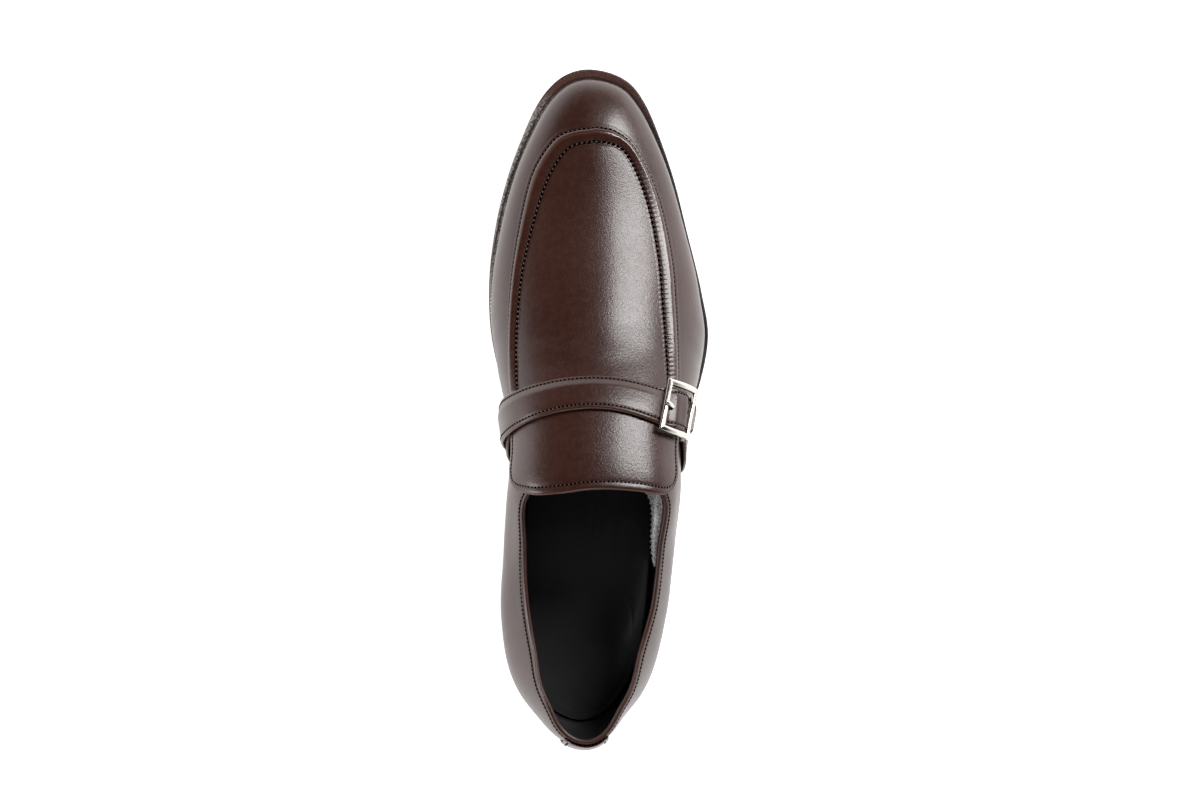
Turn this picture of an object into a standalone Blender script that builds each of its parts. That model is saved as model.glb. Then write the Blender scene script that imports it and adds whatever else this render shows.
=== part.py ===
"""Monk strap shoe, right foot.

The shoe stands on its sole: +Y points to the toe, +X to the outer (lateral) side, +Z up.
The last is one surface, worked out from the named sizes and the tables below. A point on it has a
turn, 0 at the back of the heel and 1 at the tip of the toe, and an across value, 0 at the medial
feather edge, 1 on the ridge and 2 at the lateral feather edge. Upper, tongue, straps, seam and
buckle are all laid on this surface at their own height above it.
"""

import math

import bmesh
import bpy
import numpy as np

# Driving dimensions, in metres
SHOE_LENGTH = 0.306
BALL_WIDTH = 0.1035
HEEL_HEIGHT = 0.025
TOE_SPRING = 0.006
INSTEP_RISE = 0.070
QUARTER_RISE = 0.055
OUTSOLE_THICKNESS = 0.005
WELT_THICKNESS = 0.003
WELT_WIDTH = 0.013
INSOLE_THICKNESS = 0.003
LIFT_THICKNESS = 0.006
WALL = 0.0022
TAB_THICKNESS = 0.0020
TONGUE_THICKNESS = 0.0020
STRAP_THICKNESS = 0.0020
HEEL_TAB_THICKNESS = 0.0010
HEEL_TAB_WIDTH = 0.020
BEAD_HEIGHT = 0.0014
BUCKLE_LENGTH = 0.0195
BUCKLE_WIDTH = 0.0230
BUCKLE_BAR = 0.0024
BUCKLE_THICKNESS = 0.0020
PIN_WIDTH = 0.0028
PIN_THICKNESS = 0.0014
PRONG_THICKNESS = 0.0016
PRONG_START = 0.0042
TAIL_LENGTH = 0.0205
HEEL_SETBACK = 0.0014
HEEL_TAPER = 0.0007
BREAST_HOLLOW = 0.0062
EDGE_ROUND = 0.0007
CLEARANCE = 0.0003

# Places along the shoe and across the last, as shares; TONGUE_FRONT is one of the strap's width,
# TAIL_SHAPE of the tail, and HEEL_TAB_REACH of the way up to the collar
HEEL_BREAST = 0.25
BALL_START = 0.60
BALL_END = 0.71
BUCKLE_ACROSS = 1.386
TONGUE_FRONT = 0.62
SEAM_START = 0.008
TAB_GAP = 0.018
STRAP_LIFT = {"start": 1.25, "length": 0.06, "drop": 0.9}
TAIL_SHAPE = {"taper": 0.12, "round": 0.45, "tip": 0.25}
HEEL_TAB_REACH = (0.42, 0.985)

# Edge of the sole: half-widths as shares of the ball width
SOLE_TABLE = [
    # share, medial, lateral
    (0.00, 0.000, 0.000),
    (0.03, 0.190, 0.175),
    (0.10, 0.305, 0.290),
    (0.18, 0.330, 0.330),
    (0.28, 0.315, 0.350),
    (0.38, 0.300, 0.395),
    (0.46, 0.325, 0.460),
    (0.53, 0.380, 0.535),
    (0.60, 0.423, 0.566),
    (0.66, 0.434, 0.535),
    (0.76, 0.408, 0.459),
    (0.83, 0.362, 0.403),
    (0.90, 0.291, 0.328),
    (0.95, 0.224, 0.259),
    (0.98, 0.152, 0.188),
    (1.00, 0.000, 0.000),
]

# Margin of the welt outside the feather edge, as shares of the ball width
MARGIN_TABLE = [
    # share, medial, lateral
    (0.00, 0.029, 0.029),
    (0.30, 0.029, 0.029),
    (0.50, 0.034, 0.038),
    (0.62, 0.038, 0.038),
    (0.75, 0.050, 0.038),
    (0.87, 0.051, 0.041),
    (1.00, 0.060, 0.060),
]

# Ridge of the last above the feather edge, as a share of the instep rise, and the ridge's
# place to the side, as a share of the ball width
RIDGE_TABLE = [
    # share, rise, side
    (0.00, 1.040, 0.000),
    (0.12, 1.040, 0.015),
    (0.20, 1.010, 0.017),
    (0.30, 0.980, 0.018),
    (0.37, 0.990, 0.020),
    (0.42, 0.990, 0.021),
    (0.48, 0.965, 0.024),
    (0.54, 0.885, 0.027),
    (0.62, 0.745, 0.030),
    (0.70, 0.615, 0.027),
    (0.80, 0.480, 0.020),
    (0.86, 0.420, 0.014),
    (1.00, 0.350, 0.010),
]

# Wall of the last: bulge beyond the feather edge as a share of the ball width, height of the
# belly as a share of the rise, and fullness of the crown as a share of the reach
WALL_TABLE = [
    # share, medial bulge, lateral bulge, medial belly, lateral belly, medial crown, lateral crown
    (0.00, 0.050, 0.050, 0.300, 0.300, 1.300, 1.300),
    (0.03, 0.083, 0.055, 0.300, 0.300, 0.850, 0.920),
    (0.07, 0.146, 0.120, 0.300, 0.300, 0.440, 0.490),
    (0.12, 0.205, 0.180, 0.300, 0.300, 0.090, 0.140),
    (0.20, 0.250, 0.221, 0.330, 0.330, -0.040, 0.100),
    (0.28, 0.213, 0.206, 0.380, 0.380, 0.330, 0.350),
    (0.36, 0.142, 0.106, 0.480, 0.450, 0.900, 0.930),
    (0.42, 0.103, 0.066, 0.500, 0.450, 0.950, 0.900),
    (0.50, 0.108, 0.059, 0.500, 0.420, 0.860, 0.760),
    (0.60, 0.107, 0.064, 0.500, 0.400, 0.720, 0.550),
    (0.70, 0.099, 0.088, 0.500, 0.450, 0.680, 0.520),
    (0.85, 0.072, 0.068, 0.500, 0.450, 0.640, 0.520),
    (1.00, 0.040, 0.040, 0.450, 0.450, 0.600, 0.600),
]

# Top edge of the quarters above the feather edge, as a share of the quarter rise
COLLAR_TABLE = [
    # share, rise
    (0.000, 1.00),
    (0.040, 0.98),
    (0.100, 0.86),
    (0.160, 0.75),
    (0.210, 0.72),
    (0.260, 0.77),
    (0.310, 0.89),
    (0.360, 1.06),
    (0.385, 1.20),
    (0.410, 1.50),
]

# The sections fan out round the heel and the toe: where the fan starts, and how far its centre
# lies from that end of the shoe
HEEL_FAN = {"start": 0.24, "depth": 0.115}
TOE_FAN = {"start": 0.70, "depth": 0.155}

# Strap: its two edges along the shoe, at places across the last
STRAP_TABLE = [
    # across, front, rear
    (0.03, 0.470, 0.410),
    (0.30, 0.483, 0.427),
    (0.45, 0.493, 0.4355),
    (0.60, 0.502, 0.4475),
    (0.75, 0.5125, 0.461),
    (0.90, 0.5225, 0.472),
    (1.00, 0.526, 0.4755),
    (1.10, 0.5225, 0.4705),
    (1.20, 0.5155, 0.461),
    (1.30, 0.5075, 0.4515),
    (1.45, 0.500, 0.4435),
    (1.60, 0.491, 0.4345),
    (1.75, 0.4795, 0.4245),
    (2.00, 0.458, 0.407),
]

# Tongue: rear edge along the shoe, at places across the last
TONGUE_TABLE = [
    # across, rear
    (0.470, 0.395),
    (0.480, 0.384),
    (0.505, 0.375),
    (0.550, 0.3675),
    (0.620, 0.3605),
    (0.720, 0.357),
    (0.865, 0.360),
    (1.000, 0.366),
    (1.140, 0.3638),
    (1.290, 0.358),
    (1.365, 0.3585),
    (1.417, 0.3655),
    (1.449, 0.376),
    (1.460, 0.389),
]

# Raised seam round the vamp: outer and inner row, across the last, at turns' shares
SEAM_TABLE = [
    # share, medial outer, medial inner, lateral outer, lateral inner
    (0.500, 0.512, 0.585, 1.425, 1.350),
    (0.595, 0.528, 0.597, 1.445, 1.361),
    (0.690, 0.540, 0.620, 1.470, 1.369),
    (0.775, 0.540, 0.655, 1.485, 1.374),
    (0.840, 0.540, 0.690, 1.457, 1.345),
    (0.900, 0.602, 0.747, 1.389, 1.292),
    (0.955, 0.722, 0.835, 1.291, 1.182),
    (0.985, 0.766, 0.863, 1.246, 1.145),
    (1.000, 0.776, 0.868, 1.230, 1.135),
]

# Cross-section of that seam, from its outer row to its inner row
SEAM_PROFILE = [
    # place, rise
    (0.00, 0.35),
    (0.20, 0.85),
    (0.45, 1.00),
    (0.75, 0.75),
    (1.00, 0.30),
]

# Cross-section of the buckle's bars, from the hole outwards: inset as a share of the bar's
# width, height as a share of its thickness
BAR_PROFILE = [
    # inset, height
    (1.00, 0.0),
    (0.00, 0.0),
    (0.00, 0.6),
    (0.35, 1.0),
    (0.65, 1.0),
    (1.00, 0.6),
]

# Side tabs under the ends of the strap: rear edge along the shoe, at heights across the last
TAB_TABLE = [
    # across from the feather edge, medial rear, lateral rear
    (0.03, 0.385, 0.375),
    (0.15, 0.398, 0.383),
    (0.28, 0.410, 0.392),
    (0.36, 0.419, 0.404),
    (0.41, 0.430, 0.418),
    (0.45, 0.440, 0.432),
]

SOLE_STEPS = 40
UPPER_STEPS = 52
WALL_STEPS = 11

COLOURS = {
    "leather": ((0.050, 0.022, 0.016), 0.32, 0.0),
    "sole": ((0.030, 0.014, 0.011), 0.50, 0.0),
    "rubber": ((0.012, 0.011, 0.011), 0.70, 0.0),
    "lining": ((0.008, 0.008, 0.009), 0.40, 0.0),
    "metal": ((0.78, 0.77, 0.74), 0.15, 1.0),
}


def smooth(x, rows, column=1):
    """A smooth curve through one column of a table, read at x."""
    xs = np.array([row[0] for row in rows])
    ys = np.array([row[column] for row in rows])
    x = np.clip(np.asarray(x, float), xs[0], xs[-1])
    slope = np.gradient(ys, xs)
    i = np.clip(np.searchsorted(xs, x, side="right") - 1, 0, len(xs) - 2)
    span = xs[i + 1] - xs[i]
    q = (x - xs[i]) / span
    start = (1 + 2 * q) * (1 - q) ** 2 * ys[i] + q * (1 - q) ** 2 * span * slope[i]
    end = q * q * (3 - 2 * q) * ys[i + 1] + q * q * (q - 1) * span * slope[i + 1]
    return start + end


def turn_at(share):
    return np.arccos(1 - 2 * np.clip(share, 0, 1)) / math.pi


def share_at(turn):
    return (1 - np.cos(math.pi * np.asarray(turn, float))) / 2


SOLE_TURNS = [(float(turn_at(share)), medial, lateral) for share, medial, lateral in SOLE_TABLE]


def sole_bottom(y):
    """Height of the outsole's underside: heel seat, arch, flat ball and toe spring."""
    share = np.asarray(y, float) / SHOE_LENGTH
    q = np.clip((share - HEEL_BREAST) / (BALL_START - HEEL_BREAST), 0, 1)
    arch = HEEL_HEIGHT * (1 - q * q * (3 - 2 * q))
    spring = TOE_SPRING * np.clip((share - BALL_END) / (1 - BALL_END), 0, 1) ** 2
    return arch + spring


def welt_bottom(y):
    return sole_bottom(y) + OUTSOLE_THICKNESS + CLEARANCE


def feather_height(y):
    return welt_bottom(y) + WELT_THICKNESS + CLEARANCE


def outline(side, turn, inset=0.0):
    """Plan of the sole's edge on one side, -1 medial or 1 lateral, drawn in by inset."""
    turn = np.asarray(turn, float)
    column = 1 if side < 0 else 2

    def edge(at):
        flip = np.where((at < 0) | (at > 1), -1.0, 1.0)
        inside = np.where(at < 0, -at, np.where(at > 1, 2 - at, at))
        return flip * smooth(inside, SOLE_TURNS, column) * BALL_WIDTH, share_at(inside) * SHOE_LENGTH

    step = 1e-3
    x, y = edge(turn)
    x_before, y_before = edge(turn - step)
    x_after, y_after = edge(turn + step)
    tangent_x, tangent_y = x_after - x_before, y_after - y_before
    length = np.hypot(tangent_x, tangent_y)
    return side * (x - inset * tangent_y / length), y + inset * tangent_x / length


def ridge(base):
    """Height of the ridge above the floor, base a share of the length."""
    return feather_height(base * SHOE_LENGTH) + INSTEP_RISE * smooth(base, RIDGE_TABLE, 1)


def section(side, turn):
    """The four Bezier points of the last's section at a turn, from feather edge to ridge."""
    share = share_at(turn)
    column = 0 if side < 0 else 1
    x, y = outline(side, turn, smooth(share, MARGIN_TABLE, 1 + column) * BALL_WIDTH)
    z = feather_height(y)
    heel = np.clip(1 - share / HEEL_FAN["start"], 0, 1)
    toe = np.clip((share - TOE_FAN["start"]) / (1 - TOE_FAN["start"]), 0, 1)
    base = share + HEEL_FAN["depth"] * heel ** 2 - TOE_FAN["depth"] * toe ** 2
    top_x = BALL_WIDTH * smooth(base, RIDGE_TABLE, 2)
    top_y = base * SHOE_LENGTH
    top_z = ridge(base)
    near = 0.002
    slope = (ridge(base + near) - ridge(base - near)) / (2 * near * SHOE_LENGTH)
    along_x, along_y = x - top_x, y - top_y
    reach = np.hypot(along_x, along_y)
    along_x, along_y = along_x / reach, along_y / reach
    wide = reach + smooth(share, WALL_TABLE, 1 + column) * BALL_WIDTH
    belly = z + smooth(share, WALL_TABLE, 3 + column) * (top_z - z)
    crown = smooth(share, WALL_TABLE, 5 + column) * wide
    return (
        np.stack([x, y, z], -1),
        np.stack([top_x + along_x * wide, top_y + along_y * wide, belly], -1),
        np.stack([top_x + along_x * crown, top_y + along_y * crown, top_z + slope * along_y * crown], -1),
        np.stack([top_x, top_y, top_z], -1),
    )


def last(turn, across):
    """Points of the last's surface."""
    turn, across = np.broadcast_arrays(np.asarray(turn, float), np.asarray(across, float))
    points = np.zeros(turn.shape + (3,))
    for side in (-1, 1):
        mask = across <= 1 if side < 0 else across > 1
        if mask.any():
            t = (across if side < 0 else 2 - across)[mask][:, None]
            foot, belly, crown, top = section(side, turn[mask])
            points[mask] = (foot * (1 - t) ** 3 + 3 * belly * t * (1 - t) ** 2
                            + 3 * crown * t * t * (1 - t) + top * t ** 3)
    return points


def normals(turn, across):
    """Outward directions of the last's surface."""
    turn, across = np.broadcast_arrays(np.asarray(turn, float), np.asarray(across, float))
    step = 2e-3
    near = np.clip(turn, step, 1 - 4 * step)
    medial = across <= 1
    low = np.where(medial, np.clip(across - step, 0, 1 - 4 * step), np.clip(across - step, 1 + 2 * step, 2))
    high = np.where(medial, np.clip(across + step, 0, 1 - 2 * step), np.clip(across + step, 1 + 4 * step, 2))
    middle = (low + high) / 2
    along = last(near + step, middle) - last(near - step, middle)
    over = last(near, high) - last(near, low)
    normal = np.cross(over, along)
    normal /= np.linalg.norm(normal, axis=-1, keepdims=True)
    at_end = (turn < step) | (turn > 1 - 4 * step)
    normal[..., 0] = np.where(at_end, 0.0, normal[..., 0])
    return normal / np.linalg.norm(normal, axis=-1, keepdims=True)


def laid(turn, across, height):
    """Points at a height above the last."""
    return last(turn, across) + normals(turn, across) * np.asarray(height, float)[..., None]


def material(name):
    found = bpy.data.materials.get(name)
    if found:
        return found
    colour, roughness, metallic = COLOURS[name]
    made = bpy.data.materials.new(name)
    made.use_nodes = True
    shader = made.node_tree.nodes["Principled BSDF"]
    shader.inputs["Base Color"].default_value = (*colour, 1)
    shader.inputs["Roughness"].default_value = roughness
    shader.inputs["Metallic"].default_value = metallic
    return made


def make_object(name, points, faces, finish):
    mesh = bpy.data.meshes.new(name)
    mesh.from_pydata([tuple(p) for p in points], [], faces)
    body = bmesh.new()
    body.from_mesh(mesh)
    bmesh.ops.recalc_face_normals(body, faces=body.faces)
    body.to_mesh(mesh)
    body.free()
    mesh.materials.append(material(finish))
    mesh.shade_smooth()
    mesh.set_sharp_from_angle(angle=math.radians(35))
    made = bpy.data.objects.new(name, mesh)
    bpy.context.collection.objects.link(made)
    return made


def merged(points, faces):
    """Points that coincide become one, and faces that shrink to nothing are dropped."""
    keys = {}
    number = []
    kept = []
    for point in points:
        key = tuple(np.round(np.asarray(point) * 1e7).astype(int))
        if key not in keys:
            keys[key] = len(kept)
            kept.append(point)
        number.append(keys[key])
    out = []
    for face in faces:
        ring = []
        for corner in face:
            index = number[corner]
            if not ring or index != ring[-1]:
                ring.append(index)
        if ring[0] == ring[-1]:
            ring.pop()
        if len(ring) > 2 and len(set(ring)) == len(ring):
            out.append(tuple(ring))
    return kept, out


def shell(name, outer, inner, finish):
    """A sheet with thickness: two grids of points, rows by columns, closed round their rim."""
    rows, columns = outer.shape[:2]
    points = list(outer.reshape(-1, 3)) + list(inner.reshape(-1, 3))
    shift = rows * columns
    faces = []
    for i in range(rows - 1):
        for j in range(columns - 1):
            a, b = i * columns + j, i * columns + j + 1
            c, d = b + columns, a + columns
            faces.append((a, b, c, d))
            faces.append((shift + d, shift + c, shift + b, shift + a))
    rim = [(0, j) for j in range(columns)] + [(i, columns - 1) for i in range(1, rows)]
    rim += [(rows - 1, j) for j in range(columns - 2, -1, -1)] + [(i, 0) for i in range(rows - 2, 0, -1)]
    rim = [i * columns + j for i, j in rim]
    for start, end in zip(rim, rim[1:] + rim[:1]):
        faces.append((end, start, shift + start, shift + end))
    points, faces = merged(points, faces)
    return make_object(name, points, faces, finish)


def loops(name, rings, finish, caps):
    """Closed rings of points skinned one to the next; caps is 'ends', or 'round' for a ring shape."""
    count = len(rings[0])
    points = [point for ring in rings for point in ring]
    faces = []
    last_ring = len(rings) if caps == "round" else len(rings) - 1
    for i in range(last_ring):
        k = (i + 1) % len(rings)
        for j in range(count):
            n = (j + 1) % count
            faces.append((i * count + j, i * count + n, k * count + n, k * count + j))
    if caps == "ends":
        faces.append(tuple(reversed(range(count))))
        faces.append(tuple(range((len(rings) - 1) * count, len(rings) * count)))
    points, faces = merged(points, faces)
    return make_object(name, points, faces, finish)


def sole_ring(inset, height, steps=SOLE_STEPS):
    """One ring round the whole sole, anticlockwise from above; height is a function of y."""
    turn = np.linspace(0, 1, steps + 1)
    lateral = np.stack(outline(1, turn, inset), -1)
    medial = np.stack(outline(-1, turn[::-1][1:-1], inset[1:-1][::-1] if np.ndim(inset) else inset), -1)
    plan = np.concatenate([lateral, medial])
    return np.column_stack([plan, height(plan[:, 1])])


def plate(name, rings, finish):
    """A plate of sole rings, its top and underside made of strips straight across."""
    count = len(rings[0])
    points = [point for ring in rings for point in ring]
    faces = []
    for i in range(len(rings) - 1):
        for j in range(count):
            n = (j + 1) % count
            faces.append((i * count + j, i * count + n, (i + 1) * count + n, (i + 1) * count + j))
    top = (len(rings) - 1) * count
    half = count // 2
    for j in range(half):
        a, b = j, j + 1
        c, d = (count - j - 1) % count, (count - j) % count
        under = (d, c, b, a) if j else (c, b, a)
        under = tuple(dict.fromkeys(under))
        faces.append(under)
        faces.append(tuple(top + v for v in reversed(under)))
    return make_object(name, points, faces, finish)


def make_outsole():
    def lifted(rise):
        return lambda y: sole_bottom(y) + rise
    rings = [
        sole_ring(EDGE_ROUND, lifted(0)),
        sole_ring(0.0, lifted(EDGE_ROUND)),
        sole_ring(0.0, lifted(OUTSOLE_THICKNESS - EDGE_ROUND)),
        sole_ring(EDGE_ROUND, lifted(OUTSOLE_THICKNESS)),
    ]
    return plate("outsole", rings, "sole")


def make_welt():
    def lifted(rise):
        return lambda y: welt_bottom(y) + rise
    rings = [
        sole_ring(WELT_WIDTH, lifted(0)),
        sole_ring(EDGE_ROUND, lifted(0)),
        sole_ring(CLEARANCE, lifted(EDGE_ROUND)),
        sole_ring(CLEARANCE, lifted(WELT_THICKNESS - EDGE_ROUND)),
        sole_ring(EDGE_ROUND + CLEARANCE, lifted(WELT_THICKNESS)),
        sole_ring(WELT_WIDTH, lifted(WELT_THICKNESS)),
    ]
    return loops("welt", rings, "sole", "round")


def insole_inset(turn, side):
    margin = smooth(share_at(turn), MARGIN_TABLE, 1 if side < 0 else 2) * BALL_WIDTH
    return margin + WALL + 2 * CLEARANCE


def make_insole():
    turn = np.linspace(0, 1, SOLE_STEPS + 1)

    def ring(extra, rise):
        lateral = np.stack(outline(1, turn, insole_inset(turn, 1) + extra), -1)
        medial = np.stack(outline(-1, turn, insole_inset(turn, -1) + extra), -1)
        plan = np.concatenate([lateral, medial[::-1][1:-1]])
        return np.column_stack([plan, feather_height(plan[:, 1]) + rise])

    rings = [
        ring(0, 0),
        ring(0, INSOLE_THICKNESS - EDGE_ROUND),
        ring(EDGE_ROUND, INSOLE_THICKNESS),
    ]
    return plate("insole", rings, "lining")


def heel_ring(inset, height):
    """Ring of the heel block: the sole's edge behind the breast, and a hollowed breast."""
    breast = SHOE_LENGTH * HEEL_BREAST - inset
    turn = np.linspace(0, float(turn_at(HEEL_BREAST)), 15)
    lateral = np.stack(outline(1, turn, inset), -1)
    lateral[:, 1] = np.minimum(lateral[:, 1], breast)
    medial = np.stack(outline(-1, turn, inset), -1)
    medial[:, 1] = np.minimum(medial[:, 1], breast)
    ends = lateral[-1], medial[-1]
    share = np.linspace(0, 1, 9)[1:-1]
    front = np.stack([
        ends[0][0] + (ends[1][0] - ends[0][0]) * share,
        breast - 4 * BREAST_HOLLOW * share * (1 - share),
    ], -1)
    plan = np.concatenate([lateral, front, medial[::-1][:-1]])
    return np.column_stack([plan, np.full(len(plan), height)])


def make_heel():
    stack_bottom = LIFT_THICKNESS + CLEARANCE
    stack_top = HEEL_HEIGHT - CLEARANCE
    foot = HEEL_SETBACK + HEEL_TAPER
    stack = [
        heel_ring(foot, stack_bottom),
        heel_ring(HEEL_SETBACK + HEEL_TAPER / 4, (stack_bottom + stack_top) / 2),
        heel_ring(HEEL_SETBACK, stack_top),
    ]
    lift = [
        heel_ring(foot + EDGE_ROUND, 0.0),
        heel_ring(foot, EDGE_ROUND),
        heel_ring(foot, LIFT_THICKNESS),
    ]
    return loops("heel_stack", stack, "sole", "ends"), loops("heel_lift", lift, "rubber", "ends")


def collar_across(side, turn):
    """How far up the section the upper reaches: to the collar, or to the ridge on the vamp."""
    share = share_at(turn)
    foot, _, _, top = section(side, turn)
    height = foot[..., 2] + QUARTER_RISE * smooth(share, COLLAR_TABLE)
    low, high = np.zeros_like(turn), np.ones_like(turn)
    for _ in range(40):
        middle = (low + high) / 2
        below = last(turn, middle if side < 0 else 2 - middle)[..., 2] < height
        low, high = np.where(below, middle, low), np.where(below, high, middle)
    return np.where((height >= top[..., 2]) | (high > 0.985) | (share > COLLAR_TABLE[-1][0]), 1.0, high)


def make_upper():
    """One hollow wall, lasted round the toe and heel, open at the collar and underneath."""
    turn = np.linspace(0, 1, UPPER_STEPS + 1)
    rows = np.linspace(0, 1, WALL_STEPS + 1)
    outer, inner = [], []
    for side, order in ((1, turn), (-1, turn[::-1][1:-1])):
        reach = collar_across(side, order)
        up = reach[:, None] * rows
        across = up if side < 0 else 2 - up
        grid = np.broadcast_to(order[:, None], across.shape)
        skin = last(grid, across)
        lining = skin - normals(grid, across) * WALL
        lining[:, 0, 2] = skin[:, 0, 2]
        outer.append(skin)
        inner.append(lining)
    outer, inner = np.concatenate(outer), np.concatenate(inner)
    columns, height = outer.shape[:2]
    points = list(outer.reshape(-1, 3)) + list(inner.reshape(-1, 3))
    shift = columns * height
    faces = []
    ridge_open = [None] * columns
    for i in range(columns):
        n = (i + 1) % columns
        for j in range(height - 1):
            a, b, c, d = i * height + j, n * height + j, n * height + j + 1, i * height + j + 1
            faces.append((a, b, c, d))
            faces.append((shift + d, shift + c, shift + b, shift + a))
        a, b = i * height, n * height
        faces.append((b, a, shift + a, shift + b))
        a, b = a + height - 1, b + height - 1
        ridge_open[i] = (a, b, shift + b, shift + a)
    reach = np.concatenate([collar_across(1, turn), collar_across(-1, turn[::-1][1:-1])])
    for i in range(columns):
        n = (i + 1) % columns
        if reach[i] < 1 or reach[n] < 1:
            faces.append(ridge_open[i])
    points, faces = merged(points, faces)
    return make_object("upper", points, faces, "leather")


def strap_share(across, lift):
    """Share of the length at a place on the strap: lift is -1 at its rear edge, 1 at its front."""
    front, rear = smooth(across, STRAP_TABLE, 1), smooth(across, STRAP_TABLE, 2)
    return (front + rear) / 2 + (front - rear) / 2 * lift


def girth(share, start, end):
    """Length round the last between two places across it."""
    across = np.linspace(start, end, 12)
    points = last(np.full(12, float(turn_at(share))), across)
    return float(np.linalg.norm(np.diff(points, axis=0), axis=1).sum())


BUCKLE_SHARE = float(strap_share(BUCKLE_ACROSS, 0))
ACROSS_PER_METRE = 0.2 / girth(BUCKLE_SHARE, BUCKLE_ACROSS - 0.1, BUCKLE_ACROSS + 0.1)
STRAP_SLANT = SHOE_LENGTH * ACROSS_PER_METRE * float(
    strap_share(BUCKLE_ACROSS - 0.1, 0) - strap_share(BUCKLE_ACROSS + 0.1, 0)) / 0.2
UNDER_STRAP = CLEARANCE + max(TAB_THICKNESS, TONGUE_THICKNESS) + CLEARANCE
PIN_TOP = UNDER_STRAP + PIN_THICKNESS
FRAME_BOTTOM = UNDER_STRAP + STRAP_THICKNESS + CLEARANCE


def on_strap(along, sideways, height):
    """A point in the strap's own sizes: along from the buckle's pin, sideways to the toe, height."""
    square = np.asarray(along, float) + STRAP_SLANT * np.asarray(sideways, float)
    across = BUCKLE_ACROSS + square * ACROSS_PER_METRE
    share = strap_share(across, 0) + np.asarray(sideways, float) / SHOE_LENGTH
    return laid(turn_at(share), across, height)


def over_pin(along):
    """How far the strap rises where it passes over the buckle's pin."""
    return (PIN_TOP + CLEARANCE - UNDER_STRAP) * np.exp(-(along / (PIN_WIDTH + STRAP_THICKNESS)) ** 4)


def make_strap():
    """From the medial side over the instep and through the buckle, ending in its tail."""
    tail_end = BUCKLE_ACROSS + TAIL_LENGTH * ACROSS_PER_METRE
    buckle_start = BUCKLE_ACROSS - BUCKLE_LENGTH / 2 * ACROSS_PER_METRE
    across = np.concatenate([
        np.linspace(STRAP_TABLE[0][0], 1.0, 17)[:-1],
        np.linspace(1.0, buckle_start, 7)[:-1],
        np.linspace(buckle_start, tail_end, 28),
    ])
    lift = np.array([-1, -0.5, 0.0, 0.5, 0.72, 0.86, 1.0])
    along = (across - BUCKLE_ACROSS) / ACROSS_PER_METRE
    step_down = np.interp(lift, [0.7, 1.0], [0.0, 1.0])
    flat_front = UNDER_STRAP - (UNDER_STRAP - CLEARANCE) * step_down * STRAP_LIFT["drop"]
    near_buckle = np.clip((across - STRAP_LIFT["start"]) / STRAP_LIFT["length"], 0, 1)[:, None]
    base = flat_front[None, :] * (1 - near_buckle) + UNDER_STRAP * near_buckle + over_pin(along)[:, None]
    narrow = np.clip((along - BUCKLE_BAR) / TAIL_LENGTH, 0, 1)
    curve = TAIL_SHAPE["round"] * TAIL_LENGTH
    into_curve = np.clip((along - (TAIL_LENGTH - curve)) / curve, 0, 1)
    rounding = TAIL_SHAPE["tip"] + (1 - TAIL_SHAPE["tip"]) * np.sqrt(1 - into_curve ** 2)
    width = (1 - TAIL_SHAPE["taper"] * narrow) * rounding
    share = strap_share(across[:, None], lift[None, :] * width[:, None])
    grid = np.broadcast_to(across[:, None], share.shape)
    turn = turn_at(share)
    outer = laid(turn, grid, base + STRAP_THICKNESS)
    inner = laid(turn, grid, base)
    return shell("strap", outer, inner, "leather")


def make_tongue():
    """The flap behind the strap, its front edge under the strap."""
    start, end = TONGUE_TABLE[0][0], TONGUE_TABLE[-1][0]
    ease = (1 - np.cos(np.linspace(0, math.pi, 31))) / 2
    across = start + (end - start) * ease
    rear = smooth(across, TONGUE_TABLE)
    front = strap_share(across, TONGUE_FRONT)
    down = np.linspace(0, 1, 7)
    share = rear[:, None] + (front - rear)[:, None] * down
    grid = np.broadcast_to(across[:, None], share.shape)
    turn = turn_at(share)
    height = np.full(share.shape, CLEARANCE)
    return shell("tongue", laid(turn, grid, height + TONGUE_THICKNESS), laid(turn, grid, height), "leather")


def make_side_tab(side, name):
    """Panel under one end of the strap, from the welt up to the tongue's edge."""
    column = 1 if side < 0 else 2
    tongue_edge = TONGUE_TABLE[0][0] if side < 0 else 2 - TONGUE_TABLE[-1][0]
    up = np.linspace(TAB_TABLE[0][0], tongue_edge - TAB_GAP, 10)
    across = up if side < 0 else 2 - up
    rear = smooth(up, TAB_TABLE, column)
    front = strap_share(across, TONGUE_FRONT)
    down = np.linspace(0, 1, 6)
    share = rear[:, None] + (front - rear)[:, None] * down
    grid = np.broadcast_to(across[:, None], share.shape)
    turn = turn_at(share)
    height = np.full(share.shape, CLEARANCE)
    outer = laid(turn, grid, height + TAB_THICKNESS)
    inner = laid(turn, grid, height)
    if side > 0:
        outer, inner = outer[::-1], inner[::-1]
    return shell(name, outer, inner, "leather")


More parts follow.
